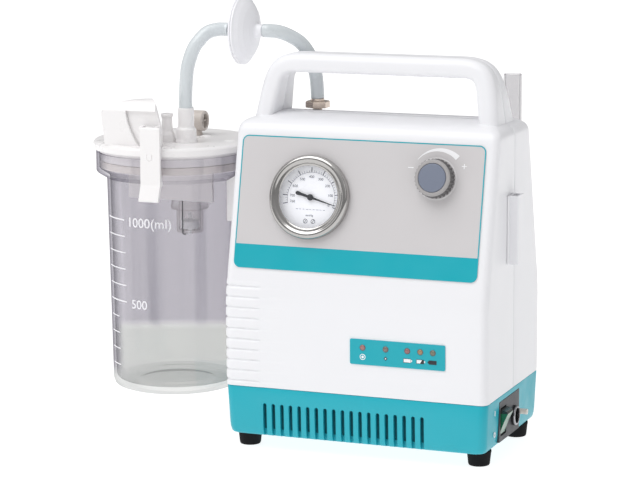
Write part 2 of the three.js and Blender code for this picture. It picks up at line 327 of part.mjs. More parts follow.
// ---------------------------------------------------------------- catheter tube and its holder on the rear
const rearY = (z) => (z <= 110 ? FLAT_Y : panelHalfDepth(z));
const web = extrudeX([[rearY(118) + 0.6, 118], [TUBE.y - 4, 118], [TUBE.y - 4, 166], [rearY(166) + 0.5, 166], [rearY(128) + 0.5, 128]], -9.5, 9.5).subtract(rod(8.5, 123.2, 180, 24, 0, TUBE.y));
const holder = (() => { const g = toGeometry(turned([[0, 118], [10.5, 118], [10.5, 166], [8.5, 166], [8.5, 123.2], [0, 123.2]], 18)); g.translate(0, TUBE.y, 0); return toManifold(g); })();
put('tube_holder', holder.add(web), M.shell).position.set(TUBE.x, 0, 0);
put('catheter_tube', turned([[0, TUBE.z0], [6.2, TUBE.z0], [TUBE.r, 125], [TUBE.r, TUBE.z1], [6.0, TUBE.z1], [6.0, 126], [0, 125.4]], 16), M.clear).position.set(TUBE.x, TUBE.y, 0);

// ---------------------------------------------------------------- pump inside the housing
put('motor', alongX(turned([[0, MOTOR.x0], [MOTOR.r, MOTOR.x0], [MOTOR.r, MOTOR.x1], [0, MOTOR.x1]], 24).subtract(rod(3.4, MOTOR.x0 - 1, MOTOR.x1 + 1, 12)), 0, MOTOR.y, MOTOR.z), M.motor);
put('motor_bracket', box(-34, 62, -14, 40, 15.9, 18.9).add(box(-1.2, 1.6, -14, 40, 15.9, 112)).subtract(alongX(rod(7.5, -10, 10, 16), 0, MOTOR.y, MOTOR.z))
  .add(box(-42, 1.6, -14, 40, 109.2, 112)).subtract(rod(23.4, 100, 120, 18, -17.5, MOTOR.y)), M.cast);
put('crankshaft', alongX(turned([[0, -9], [14, -9], [14, -3.2], [3.0, -3.2], [3.0, 76], [0, 76]], 20), 0, MOTOR.y, MOTOR.z).add(alongX(rod(3.4, -24, -8.9, 14), 0, MOTOR.y, MOTOR.z + CRANK.throw)), M.steel);
put('connecting_rod', alongX(rod(8.5, -23, -12, 14), 0, MOTOR.y, MOTOR.z + CRANK.throw).add(box(-22, -13, MOTOR.y - 4.5, MOTOR.y + 4.5, MOTOR.z + 6, 128)).add(rod(18.5, 127, 131, 16, -17.5, MOTOR.y))
  .subtract(alongX(rod(3.7, -40, 0, 14), 0, MOTOR.y, MOTOR.z + CRANK.throw)), M.cast);
put('pump_head', ring([[22.4, 112.4], [26, 112.4], [26, 141], [9, 141], [9, 150], [3, 150], [3, 137.6], [22.4, 137.6]], 18), M.cast).position.set(-17.5, MOTOR.y, 0);
let fan = ring([[3.3, 68], [7, 68], [7, 74], [3.3, 74]], 14);
for (let i = 0; i < 6; i++) { const g = new THREE.BoxGeometry(17, 7, 1.4); g.rotateX(0.6); g.translate(14.6, 0, 71); g.rotateZ(i * Math.PI / 3); fan = fan.add(toManifold(g)); }
put('cooling_fan', alongX(fan, 0, MOTOR.y, MOTOR.z), M.black);
put('battery_pack', box(-98, -46, -44, -4, 16, 86), M.battery);
put('circuit_board', box(-20, 88, -60.2, -58.6, 52, 122), M.board);
put('vacuum_tube', tubeAlong([[-17.5, MOTOR.y, 150.4], [-17.5, MOTOR.y, 170], [-24, 13, 196], [-44, 17, 214], [-58, 20.4, 228], [NIPPLE.x, NIPPLE.y, 238], [NIPPLE.x, NIPPLE.y, 243.7]], 3.4, 14, 8), M.hose);

export default part;
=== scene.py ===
import math
import bpy
import bmesh
from mathutils import Vector, Matrix


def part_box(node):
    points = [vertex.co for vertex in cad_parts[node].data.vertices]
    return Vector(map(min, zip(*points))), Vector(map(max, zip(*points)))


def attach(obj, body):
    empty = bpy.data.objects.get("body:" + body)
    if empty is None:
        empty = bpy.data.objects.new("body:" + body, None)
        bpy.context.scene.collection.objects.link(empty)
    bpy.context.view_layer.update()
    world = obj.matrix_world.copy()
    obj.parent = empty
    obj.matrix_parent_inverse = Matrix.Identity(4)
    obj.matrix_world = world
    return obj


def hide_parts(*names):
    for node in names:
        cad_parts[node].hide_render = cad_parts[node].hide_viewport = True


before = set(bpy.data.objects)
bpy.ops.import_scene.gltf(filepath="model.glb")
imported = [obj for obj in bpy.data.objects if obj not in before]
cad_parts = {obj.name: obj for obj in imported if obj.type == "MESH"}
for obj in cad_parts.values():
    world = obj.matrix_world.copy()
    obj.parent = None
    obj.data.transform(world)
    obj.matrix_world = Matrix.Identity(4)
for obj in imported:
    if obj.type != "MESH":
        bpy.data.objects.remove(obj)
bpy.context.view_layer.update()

# ------------------------------------------------------------------ frame
# Shapes are written in millimetres about the housing's centre line (x 0, parting plane y 0, floor z 0),
# and put in the row frame from the front shell's own box.
lo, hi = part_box("front_shell")
CX, CY = (lo[0] + hi[0]) / 2 * 1000, hi[1] * 1000 + 0.15
HALF_W = (hi[0] - lo[0]) / 2 * 1000
jlo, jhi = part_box("jar")
JX, JY = (jlo[0] + jhi[0]) / 2 * 1000 - CX, (jlo[1] + jhi[1]) / 2 * 1000 - CY
glo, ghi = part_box("catheter_tube")
TX, TY = (glo[0] + ghi[0]) / 2 * 1000 - CX, (glo[1] + ghi[1]) / 2 * 1000 - CY
TZ0, TZ1 = glo[2] * 1000, ghi[2] * 1000


def W(p):
    return ((p[0] + CX) / 1000, (p[1] + CY) / 1000, p[2] / 1000)


SL = 0.2236
NL = math.hypot(1, SL)
PU, PN, P0 = Vector((0, SL / NL, 1 / NL)), Vector((0, -1 / NL, SL / NL)), Vector((0, -66.5, 125))


def up(z):
    return (z - 125) * NL


def onp(x, v, h):
    return P0 + Vector((x, 0, 0)) + PU * v + PN * h


def panel_at(cx, cz):
    v0 = up(cz)
    return lambda p: onp(cx + p[0], v0 + p[1], p[2])


GAUGE, KNOB = (-40.0, 196.0), (58.8, 214.5)
VAC, PAT, ELB = (-156.0, -20.0), (-171.4, -22.0), (-166.5, 22.0, 240.3)
NIP = (-62.0, 21.0)
FIL = (-114.6, -2.0, 315.8)
TOP = 229.1

scene = bpy.context.scene
col = scene.collection

# ------------------------------------------------------------------ camera, at the viewing angle of the real set-up
AZ, EL, ROLL = math.radians(21.539), math.radians(10.088), math.radians(-0.336)
cam_data = bpy.data.cameras.new("camera")
cam_data.lens, cam_data.sensor_width = 143.24, 36.0
cam_data.clip_start, cam_data.clip_end = 0.05, 100
cam = bpy.data.objects.new("camera", cam_data)
col.objects.link(cam)
scene.camera = cam
back = Vector((math.sin(AZ) * math.cos(EL), -math.cos(AZ) * math.cos(EL), math.sin(EL)))
fwd = -back
right = fwd.cross(Vector((0, 0, 1))).normalized()
upv = right.cross(fwd)
R = right * math.cos(ROLL) + upv * math.sin(ROLL)
U = -right * math.sin(ROLL) + upv * math.cos(ROLL)
M = Matrix((R, U, back)).transposed().to_4x4()
M.translation = Vector(W((662.2, -1810.7, 500.5)))
cam.matrix_world = M


# ------------------------------------------------------------------ materials
def start(name):
    m = bpy.data.materials.new(name)
    m.use_nodes = True
    nt = m.node_tree
    nt.nodes.clear()
    out = nt.nodes.new("ShaderNodeOutputMaterial")
    tc = nt.nodes.new("ShaderNodeTexCoord")
    return m, nt, out, tc


def noise(nt, tc, scale, detail=3.0, rough=0.5, stretch=None):
    n = nt.nodes.new("ShaderNodeTexNoise")
    n.inputs["Scale"].default_value = scale
    n.inputs["Detail"].default_value = detail
    n.inputs["Roughness"].default_value = rough
    if stretch:
        mp = nt.nodes.new("ShaderNodeMapping")
        mp.inputs["Scale"].default_value = stretch
        nt.links.new(tc.outputs["Object"], mp.inputs["Vector"])
        nt.links.new(mp.outputs["Vector"], n.inputs["Vector"])
    else:
        nt.links.new(tc.outputs["Object"], n.inputs["Vector"])
    return n


def remap(nt, src, a, b, lo=0.3, hi=0.7):
    r = nt.nodes.new("ShaderNodeMapRange")
    r.inputs["From Min"].default_value, r.inputs["From Max"].default_value = lo, hi
    r.inputs["To Min"].default_value, r.inputs["To Max"].default_value = a, b
    nt.links.new(src, r.inputs["Value"])
    return r.outputs["Result"]


def srgb(c):
    return tuple(((v / 255 + 0.055) / 1.055) ** 2.4 if v > 10 else v / 255 / 12.92 for v in c)


def solid(name, rgb, rough=0.35, var=0.03, grain=0.02, grain_scale=1500.0, metal=0.0, coat=0.0, sss=0.0, trans=0.0, spec=0.5, brushed=None, alpha=1.0, rvar=0.08, emit=0.0, above=None):
    """A moulded, painted or metal surface: mottled colour and roughness with a fine moulding grain."""
    m, nt, out, tc = start(name)
    b = nt.nodes.new("ShaderNodeBsdfPrincipled")
    c = srgb(rgb)
    big = noise(nt, tc, 22.0, 3)
    fine = noise(nt, tc, 240.0, 2)
    mix = nt.nodes.new("ShaderNodeMix")
    mix.data_type = "RGBA"
    mix.inputs["A"].default_value = tuple(min(1, v * (1 - var)) for v in c) + (1,)
    mix.inputs["B"].default_value = tuple(min(1, v * (1 + var)) for v in c) + (1,)
    add = nt.nodes.new("ShaderNodeMath")
    add.operation = "MULTIPLY_ADD"
    nt.links.new(fine.outputs["Fac"], add.inputs[0])
    add.inputs[1].default_value = 0.3
    nt.links.new(remap(nt, big.outputs["Fac"], 0.0, 0.7), add.inputs[2])
    nt.links.new(add.outputs[0], mix.inputs["Factor"])
    colour = mix.outputs["Result"]
    if above:
        # a second colour above a height
        sep = nt.nodes.new("ShaderNodeSeparateXYZ")
        nt.links.new(tc.outputs["Object"], sep.inputs[0])
        two = nt.nodes.new("ShaderNodeMix")
        two.data_type = "RGBA"
        two.inputs["B"].default_value = srgb(above[1]) + (1,)
        nt.links.new(colour, two.inputs["A"])
        nt.links.new(remap(nt, sep.outputs["Z"], 0, 1, above[0] - 0.0004, above[0] + 0.0004), two.inputs["Factor"])
        colour = two.outputs["Result"]
    nt.links.new(colour, b.inputs["Base Color"])
    # painted light: with emit the surface's own colour also glows; it is used for parts that are no lamp
    if emit:
        nt.links.new(colour, b.inputs["Emission Color"])
        b.inputs["Emission Strength"].default_value = emit
    rn = noise(nt, tc, 60.0, 4)
    nt.links.new(remap(nt, rn.outputs["Fac"], max(0.02, rough - rvar), min(1, rough + rvar)), b.inputs["Roughness"])
    b.inputs["Metallic"].default_value = metal
    b.inputs["Specular IOR Level"].default_value = spec
    b.inputs["Coat Weight"].default_value = coat
    b.inputs["Coat Roughness"].default_value = 0.12
    if sss:
        b.inputs["Subsurface Weight"].default_value = sss
        b.inputs["Subsurface Radius"].default_value = (0.004, 0.004, 0.004)
    b.inputs["Transmission Weight"].default_value = trans
    b.inputs["Alpha"].default_value = alpha
    g = noise(nt, tc, grain_scale, 2, 0.5, brushed)
    bump = nt.nodes.new("ShaderNodeBump")
    bump.inputs["Strength"].default_value = grain
    bump.inputs["Distance"].default_value = 0.0004
    nt.links.new(g.outputs["Fac"], bump.inputs["Height"])
    nt.links.new(bump.outputs["Normal"], b.inputs["Normal"])
    nt.links.new(b.outputs["BSDF"], out.inputs["Surface"])
    return m


def clear(name, tint=(0.84, 0.83, 0.845), edge=(0.30, 0.29, 0.33), haze=0.05, haze_rgb=(228, 226, 232), gloss=0.05, lo=0.5, hi=0.97, streak=0.03, most=0.35, low=None, behind=None):
    """Clear moulded plastic: light passes nearly straight, darker at its edges, with a faint uneven haze and a gloss."""
    m, nt, out, tc = start(name)
    lw = nt.nodes.new("ShaderNodeLayerWeight")
    lw.inputs["Blend"].default_value = 0.5
    mix = nt.nodes.new("ShaderNodeMix")
    mix.data_type = "RGBA"
    mix.inputs["A"].default_value = tint + (1,)
    mix.inputs["B"].default_value = edge + (1,)
    nt.links.new(remap(nt, lw.outputs["Facing"], 0, 1, lo, hi), mix.inputs["Factor"])
    if behind:
        # painted shade: the far half of the jar wall, past its centre in y, gets a darker tint than the near half; both
        # are faintly streaked along the draw
        sy = nt.nodes.new("ShaderNodeSeparateXYZ")
        nt.links.new(tc.outputs["Object"], sy.inputs[0])
        far = nt.nodes.new("ShaderNodeMix")
        far.data_type = "RGBA"
        far.inputs["A"].default_value = tint + (1,)
        far.inputs["B"].default_value = behind[1] + (1,)
        nt.links.new(remap(nt, sy.outputs["Y"], 0, 1, behind[0] - 0.012, behind[0] + 0.012), far.inputs["Factor"])
        sn = noise(nt, tc, 1.0, 2, 0.6, (70, 70, 1.5))
        st = nt.nodes.new("ShaderNodeMix")
        st.data_type = "RGBA"
        st.blend_type = "MULTIPLY"
        st.inputs["B"].default_value = (0.86, 0.86, 0.875, 1)
        nt.links.new(remap(nt, sn.outputs["Fac"], 0, 1, 0.5, 0.72), st.inputs["Factor"])
        nt.links.new(far.outputs["Result"], st.inputs["A"])
        nt.links.new(st.outputs["Result"], mix.inputs["A"])
    if low:
        # painted light: below a tilted plane the jar's foot gets a lighter tint than the wall above it, and below 40–48
        # mm high its edges are less dark
        sep = nt.nodes.new("ShaderNodeSeparateXYZ")
        nt.links.new(tc.outputs["Object"], sep.inputs[0])
        tilt = nt.nodes.new("ShaderNodeVectorMath")
        tilt.operation = "DOT_PRODUCT"
        tilt.inputs[1].default_value = (-0.0653, 0.1655, 1.0)
        nt.links.new(tc.outputs["Object"], tilt.inputs[0])
        base = nt.nodes.new("ShaderNodeMix")
        base.data_type = "RGBA"
        base.inputs["A"].default_value = (0.73, 0.74, 0.735, 1)
        base.inputs["B"].default_value = edge + (1,)
        nt.links.new(remap(nt, sep.outputs["Z"], 0, 1, 0.040, 0.048), base.inputs["Factor"])
        nt.links.new(base.outputs["Result"], mix.inputs["B"])
        foot = nt.nodes.new("ShaderNodeMix")
        foot.data_type = "RGBA"
        foot.inputs["A"].default_value = low[1] + (1,)
        foot.inputs["B"].default_value = tint + (1,)
        if behind:
            nt.links.new(st.outputs["Result"], foot.inputs["B"])
        nt.links.new(remap(nt, tilt.outputs["Value"], 0, 1, low[0] - 0.003, low[0] + 0.003), foot.inputs["Factor"])
        nt.links.new(foot.outputs["Result"], mix.inputs["A"])
    tr = nt.nodes.new("ShaderNodeBsdfTransparent")
    nt.links.new(mix.outputs["Result"], tr.inputs["Color"])
    df = nt.nodes.new("ShaderNodeBsdfDiffuse")
    df.inputs["Color"].default_value = srgb(haze_rgb) + (1,)
    n = noise(nt, tc, 14.0, 2, 0.5, (1.0, 1.0, 0.25))
    ms = nt.nodes.new("ShaderNodeMixShader")
    nt.links.new(remap(nt, n.outputs["Fac"], max(0.0, haze - streak), haze + streak), ms.inputs["Fac"])
    nt.links.new(tr.outputs[0], ms.inputs[1])
    nt.links.new(df.outputs[0], ms.inputs[2])
    gl = nt.nodes.new("ShaderNodeBsdfGlossy")
    gl.inputs["Roughness"].default_value = gloss
    gl.inputs["Color"].default_value = (1, 1, 1, 1)
    w = noise(nt, tc, 30.0, 1)
    bump = nt.nodes.new("ShaderNodeBump")
    bump.inputs["Strength"].default_value = 0.08
    bump.inputs["Distance"].default_value = 0.002
    nt.links.new(w.outputs["Fac"], bump.inputs["Height"])
    nt.links.new(bump.outputs["Normal"], gl.inputs["Normal"])
    fr = nt.nodes.new("ShaderNodeFresnel")
    fr.inputs["IOR"].default_value = 1.45
    geo = nt.nodes.new("ShaderNodeNewGeometry")
    outside = nt.nodes.new("ShaderNodeMath")
    outside.operation = "SUBTRACT"
    outside.inputs[0].default_value = 1.0
    nt.links.new(geo.outputs["Backfacing"], outside.inputs[1])
    shine = nt.nodes.new("ShaderNodeMath")
    shine.operation = "MULTIPLY"
    nt.links.new(fr.outputs[0], shine.inputs[0])
    nt.links.new(outside.outputs[0], shine.inputs[1])
    cap = nt.nodes.new("ShaderNodeMath")
    cap.operation = "MINIMUM"
    cap.inputs[1].default_value = most
    nt.links.new(shine.outputs[0], cap.inputs[0])
    ms2 = nt.nodes.new("ShaderNodeMixShader")
    nt.links.new(cap.outputs[0], ms2.inputs["Fac"])
    nt.links.new(ms.outputs[0], ms2.inputs[1])
    nt.links.new(gl.outputs[0], ms2.inputs[2])
    nt.links.new(ms2.outputs[0], out.inputs["Surface"])
    return m


SHELL = solid("shell_white", (240, 240, 243), 0.34, 0.006, 0.02, 900, coat=0.12, rvar=0.05)
TEAL = solid("tray_teal", (22, 174, 191), 0.38, 0.02, 0.03, 900, coat=0.08)
PRINT_TEAL = solid("print_teal", (6, 169, 184), 0.42, 0.012, 0.02, 1500)
LABEL = solid("label_grey", (207, 204, 205), 0.42, 0.008, 0.02, 1500)
WHITE_INK = solid("ink_white", (246, 246, 248), 0.5, 0.01, 0.02)
DARK_INK = solid("ink_dark", (42, 44, 50), 0.55, 0.02, 0.02)
GREY_INK = solid("ink_grey", (96, 100, 108), 0.55, 0.02, 0.02)
RUBBER = solid("rubber_black", (22, 22, 24), 0.8, 0.15, 0.35, 900, spec=0.25)
CHROME = solid("chrome", (184, 182, 180), 0.15, 0.03, 0.02, 500, metal=1.0, rvar=0.05, brushed=(1, 1, 9))
# painted shade: a dark teal sheet, darker than the tray, set behind the vent slots to stand for the shade inside the
# housing
VENT_SHADE = solid("vent_liner", (8, 118, 132), 0.6, 0.05, 0.05, 900)
STEEL = solid("steel", (196, 196, 196), 0.26, 0.04, 0.08, 700, metal=1.0)
# painted light: the dial face glows faintly (emit 0.16) to lift it out of the shade of the bezel and lens; it is no
# lamp
DIAL = solid("dial_white", (248, 249, 252), 0.5, 0.006, 0.01, emit=0.16)
KNOB_DARK = solid("knob_dark", (104, 102, 103), 0.42, 0.05, 0.04, 900)
KNOB_RIM = solid("knob_rim", (168, 165, 165), 0.36, 0.04, 0.04, 900)
KNOB_BASE = solid("knob_base", (222, 220, 221), 0.4, 0.01, 0.02, 900)
CAP = solid("knob_cap_blue", (122, 129, 146), 0.38, 0.03, 0.05, 1400)
NICKEL = solid("nickel_nut", (205, 190, 178), 0.24, 0.05, 0.08, 500, metal=1.0)
PLATE = solid("plate_grey", (72, 74, 78), 0.5, 0.06, 0.25, 1100)
GREEN = solid("rocker_green", (6, 102, 65), 0.24, 0.05, 0.03, 900, coat=0.4, above=(0.0362, (26, 34, 32)))
BLACK = solid("plastic_black", (28, 28, 31), 0.42, 0.1, 0.15, 1200)
LID = solid("lid_white", (245, 243, 243), 0.32, 0.008, 0.01, 900, coat=0.1)
OFFWHITE = solid("stud_offwhite", (232, 228, 220), 0.35, 0.02, 0.03, 900)
NUT_DARK = solid("nut_dark", (168, 168, 172), 0.22, 0.05, 0.04, 500, metal=1.0)
GASKET = solid("gasket_beige", (238, 233, 228), 0.6, 0.03, 0.05, 900)
BEIGE = solid("port_beige", (202, 193, 186), 0.42, 0.04, 0.05, 900)
FILTER = solid("filter_white", (246, 246, 250), 0.36, 0.015, 0.02, 900, coat=0.1)
HOSE = solid("hose_silicone", (214, 220, 223), 0.26, 0.03, 0.03, 600, coat=0.4)
# painted light and shade in the jar's tint: a lighter foot and a darker far half
CLEAR = clear("jar_clear", (0.935, 0.928, 0.94), (0.40, 0.385, 0.43), 0.045, lo=0.5, hi=0.86, most=0.10, low=(0.0788 - 0.0653 * (JX + CX) / 1000 + 0.1655 * (JY + CY) / 1000, (0.865, 0.868, 0.862)), behind=((JY + CY) / 1000, (0.695, 0.685, 0.71)))
CLEAR_COLLAR = CLEAR
CAGE = clear("cage_clear", (0.955, 0.95, 0.945), (0.62, 0.60, 0.59), 0.03, (222, 218, 216), 0.08, 0.45, 0.95, 0.02, most=0.15)
TUBE = clear("tube_clear", (0.87, 0.865, 0.87), (0.45, 0.44, 0.46), 0.05, (232, 232, 236), 0.05, 0.45, 0.95, 0.03)
GLASS = clear("gauge_glass", (0.99, 0.99, 0.995), (0.96, 0.96, 0.965), 0.004, (255, 255, 255), 0.03, 0.6, 1.0, 0.003, 0.2)
# painted light: the jar's white graduations glow faintly (emit 0.08); they are print, no lamp
MARK = solid("mark_white", (240, 239, 243), 0.5, 0.02, 0.02, emit=0.08)
BOARD = solid("board_green", (28, 104, 60), 0.5, 0.2, 0.1, 500)
CAST = solid("cast_metal", (156, 158, 162), 0.5, 0.06, 0.4, 600, metal=0.9)
MOTOR = solid("motor_can", (150, 152, 156), 0.35, 0.05, 0.1, 500, metal=0.9)
BATTERY = solid("battery_black", (52, 54, 60), 0.5, 0.08, 0.2, 900)
# painted light: the float glows faintly (emit 0.12) to lift it out of the shade inside the cage and jar
FLOAT = solid("float_white", (236, 238, 242), 0.4, 0.02, 0.02, 900, emit=0.12)
LEDS = [solid("lamp_" + n, c, 0.2, 0.06, 0.02, 600, coat=0.6) for n, c in
        (("pink", (158, 112, 108)), ("brown", (122, 108, 102)), ("red", (146, 98, 98)), ("amber", (154, 124, 92)), ("olive", (112, 114, 96)))]


# ------------------------------------------------------------------ mesh helpers
def finish_mesh(ob, angle=38.0, merge=2e-6, solid_mesh=True):
    bm = bmesh.new()
    bm.from_mesh(ob.data)
    bmesh.ops.remove_doubles(bm, verts=bm.verts, dist=merge)
    bmesh.ops.dissolve_degenerate(bm, dist=1e-7, edges=bm.edges)
    bmesh.ops.recalc_face_normals(bm, faces=bm.faces)
    bm.to_mesh(ob.data)
    bm.free()
    ob.data.shade_smooth()
    ob.data.set_sharp_from_angle(angle=math.radians(angle))


def raw(name, verts, faces, f=None):
    me = bpy.data.meshes.new(name)
    me.from_pydata([W(f(v) if f else v) for v in verts], [], faces)
    ob = bpy.data.objects.new(name, me)
    col.objects.link(ob)
    return ob


def settle(ob, mat, body, hides=(), angle=38.0, bevel=0.0, segments=2):
    finish_mesh(ob, angle)
    ob.data.materials.clear()
    ob.data.materials.append(mat)
    if bevel:
        soften(ob, bevel, segments)
    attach(ob, body)
    if hides:
        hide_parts(*hides)
    return ob


def soften(ob, width, segments=2, angle=32):
    m = ob.modifiers.new("edge", "BEVEL")
    m.width, m.segments, m.limit_method, m.angle_limit = width / 1000, segments, "ANGLE", math.radians(angle)
    m.use_clamp_overlap = True
    m.harden_normals = False
    w = ob.modifiers.new("shade", "WEIGHTED_NORMAL")
    w.keep_sharp = False
    return ob


def piece(name, verts, faces, mat, body, slot=None, hides=(), f=None, angle=38.0, bevel=0.0, segments=2):
    return settle(raw(name, verts, faces, f), mat, body, hides, angle, bevel, segments)


def fillet(pts, r, n=4, closed=False, sharp=()):
    """Rounds the corners of a polyline. r is one radius, or one for each point."""
    out = []
    k = len(pts)
    for i, p in enumerate(pts):
        rr = r[i] if isinstance(r, (list, tuple)) else r
        if (not closed and i in (0, k - 1)) or rr <= 0 or i in sharp:
            out.append(tuple(p))
            continue
        a, b, c = Vector(pts[i - 1]), Vector(p), Vector(pts[(i + 1) % k])
        u, v = a - b, c - b
        lu, lv = u.length, v.length
        if lu < 1e-6 or lv < 1e-6:
            continue
        u, v = u / lu, v / lv
        ang = u.angle(v, math.pi)
        if ang > math.pi - 0.03 or ang < 0.02:
            out.append(tuple(p))
            continue
        d = min(rr / math.tan(ang / 2), lu * 0.48, lv * 0.48)
        p0, p1 = b + u * d, b + v * d
        for j in range(n + 1):
            t = j / n
            q = p0 * (1 - t) ** 2 + b * 2 * t * (1 - t) + p1 * t ** 2
            out.append(tuple(q))
    return out


def spline(pts, n=6, closed=False):
    """A Catmull-Rom curve through the points."""
    P = [Vector(p) for p in pts]
    out = []
    k = len(P)
    last = k if closed else k - 1
    for i in range(last):
        p0 = P[i - 1] if (i or closed) else P[0] * 2 - P[1]
        p1, p2 = P[i], P[(i + 1) % k]
        p3 = P[(i + 2) % k] if (i + 2 < k or closed) else P[-1] * 2 - P[-2]
        for j in range(n):
            t = j / n
            out.append(0.5 * ((2 * p1) + (p2 - p0) * t + (2 * p0 - 5 * p1 + 4 * p2 - p3) * t * t + (3 * p1 - p0 - 3 * p2 + p3) * t ** 3))
    if not closed:
        out.append(P[-1])
    return out


def lathe(profile, seg=96, closed=False):
    """Turned about +Z: points are (radius, height)."""
    verts, faces, rings = [], [], []
    for r, h in profile:
        if r < 1e-6:
            rings.append([len(verts)] * seg)
            verts.append((0, 0, h))
        else:
            rings.append([len(verts) + j for j in range(seg)])
            verts += [(r * math.cos(2 * math.pi * j / seg), r * math.sin(2 * math.pi * j / seg), h) for j in range(seg)]
    pairs = list(zip(rings, rings[1:] + ([rings[0]] if closed else [])))[: len(rings) - (0 if closed else 1)]
    for a, b in pairs:
        for j in range(seg):
            k = (j + 1) % seg
            f = []
            for q in (a[j], a[k], b[k], b[j]):
                if q not in f:
                    f.append(q)
            if len(f) > 2:
                faces.append(f)
    return verts, faces


def at(cx, cy, cz=0.0):
    return lambda p: (cx + p[0], cy + p[1], cz + p[2])


def along_x(cx, cy, cz):
    """A shape turned about +Z, laid with its +Z along +X."""
    return lambda p: (cx + p[2], cy + p[1], cz - p[0])


def prism(loop, h0, h1, holes=None):
    n = len(loop)
    verts = [(x, y, h0) for x, y in loop] + [(x, y, h1) for x, y in loop]
    faces = [list(range(n))[::-1], [n + i for i in range(n)]]
    faces += [[i, (i + 1) % n, n + (i + 1) % n, n + i] for i in range(n)]
    return verts, faces


def ring_plate(outer, inner, h0, h1):
    n = len(outer)
    verts = [(x, y, h) for h in (h0, h1) for lp in (outer, inner) for x, y in lp]
    o0, i0, o1, i1 = 0, n, 2 * n, 3 * n
    faces = []
    for i in range(n):
        j = (i + 1) % n
        faces += [[o1 + i, o1 + j, i1 + j, i1 + i], [o0 + j, o0 + i, i0 + i, i0 + j], [o0 + i, o0 + j, o1 + j, o1 + i], [i0 + j, i0 + i, i1 + i, i1 + j]]
    return verts, faces


def rrect(hx, hy, r, n=8, cx=0.0, cy=0.0):
    pts = []
    for sx, sy, a in ((1, -1, -90), (1, 1, 0), (-1, 1, 90), (-1, -1, 180)):
        for j in range(n + 1):
            t = math.radians(a + 90 * j / n)
            pts.append((cx + sx * (hx - r) + r * math.cos(t), cy + sy * (hy - r) + r * math.sin(t)))
    return pts


def merged(parts):
    verts, faces = [], []
    for v, f in parts:
        k = len(verts)
        verts += [tuple(p) for p in v]
        faces += [[i + k for i in q] for q in f]
    return verts, faces


def moved(vf, f):
    return [tuple(f(p)) for p in vf[0]], vf[1]


def csg(a, b, op):
    m = a.modifiers.new("cut", "BOOLEAN")
    m.operation, m.solver, m.object = op, "EXACT", b
    bpy.context.view_layer.update()
    dg = bpy.context.evaluated_depsgraph_get()
    me = bpy.data.meshes.new_from_object(a.evaluated_get(dg))
    a.modifiers.remove(m)
    old = a.data
    a.data = me
    bpy.data.meshes.remove(old)
    bpy.data.objects.remove(b, do_unlink=True)
    return a


def boxv(x0, x1, y0, y1, z0, z1):
    v = [(x, y, z) for z in (z0, z1) for x, y in ((x0, y0), (x1, y0), (x1, y1), (x0, y1))]
    return v, [[3, 2, 1, 0], [4, 5, 6, 7], [0, 1, 5, 4], [1, 2, 6, 5], [2, 3, 7, 6], [3, 0, 4, 7]]


def text(s, size, thick=0.08, res=4):
    cu = bpy.data.curves.new("t", "FONT")
    cu.body, cu.size, cu.extrude, cu.align_x, cu.align_y, cu.resolution_u = s, size, thick / 2, "CENTER", "CENTER", res
    ob = bpy.data.objects.new("t", cu)
    col.objects.link(ob)
    bpy.context.view_layer.update()
    me = bpy.data.meshes.new_from_object(ob.evaluated_get(bpy.context.evaluated_depsgraph_get()))
    vf = [tuple(v.co) for v in me.vertices], [list(p.vertices) for p in me.polygons]
    bpy.data.objects.remove(ob, do_unlink=True)
    bpy.data.curves.remove(cu)
    bpy.data.meshes.remove(me)
    return vf


def tube(pts, r, sides=20, caps=True):
    P = [Vector(p) for p in pts]
    verts, faces = [], []
    n0 = None
    for i, p in enumerate(P):
        t = (P[min(i + 1, len(P) - 1)] - P[max(i - 1, 0)]).normalized()
        if n0 is None:
            n0 = t.orthogonal().normalized()
        n0 = (n0 - t * n0.dot(t)).normalized()
        b = t.cross(n0)
        verts += [tuple(p + (n0 * math.cos(2 * math.pi * j / sides) + b * math.sin(2 * math.pi * j / sides)) * r) for j in range(sides)]
    for i in range(len(P) - 1):
        for j in range(sides):
            k = (j + 1) % sides
            faces.append([i * sides + j, i * sides + k, (i + 1) * sides + k, (i + 1) * sides + j])
    if caps:
        faces += [list(range(sides))[::-1], [(len(P) - 1) * sides + j for j in range(sides)]]
    return verts, faces


# ------------------------------------------------------------------ hoses
HOSE_D = 10.6
LEFT = [(VAC[0], VAC[1], 252.7), (-156.2, -20, 262), (-155.5, -20, 275), (-154.3, -19, 287.6), (-150.8, -16.5, 300.5), (-147.0, -13.5, 307.4), (-141.8, -9, 313.6), (-135.5, -5, 315.8), (-130.2, -2.2, 315.9), (-126.6, -2, 315.8)]
RIGHT = [(-96.9, -2, 315.8), (-93.4, -1.8, 315.8), (-87.2, 3, 314.8), (-81.4, 8, 312), (-74.7, 14, 306.8), (-70.1, 18.2, 300), (-66.3, 20.8, 291), (-63.6, 21.4, 280.2), (-62.4, 21.1, 270.5), (NIP[0], NIP[1], 262.3)]


def hose(name, pts, node, body):
    line = [Vector(W(p)) for p in spline(pts, 5)]
    cu = bpy.data.curves.new(name, "CURVE")
    cu.dimensions, cu.bevel_depth, cu.bevel_resolution, cu.use_fill_caps = "3D", HOSE_D / 2000, 12, True
    sp = cu.splines.new("POLY")
    sp.points.add(len(line) - 1)
    for q, p in zip(sp.points, line):
        q.co = (*p, 1)
    sp.use_smooth = True
    ob = bpy.data.objects.new(name, cu)
    col.objects.link(ob)
    cu.materials.append(HOSE)
    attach(ob, body)
    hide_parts(node)
    return ob


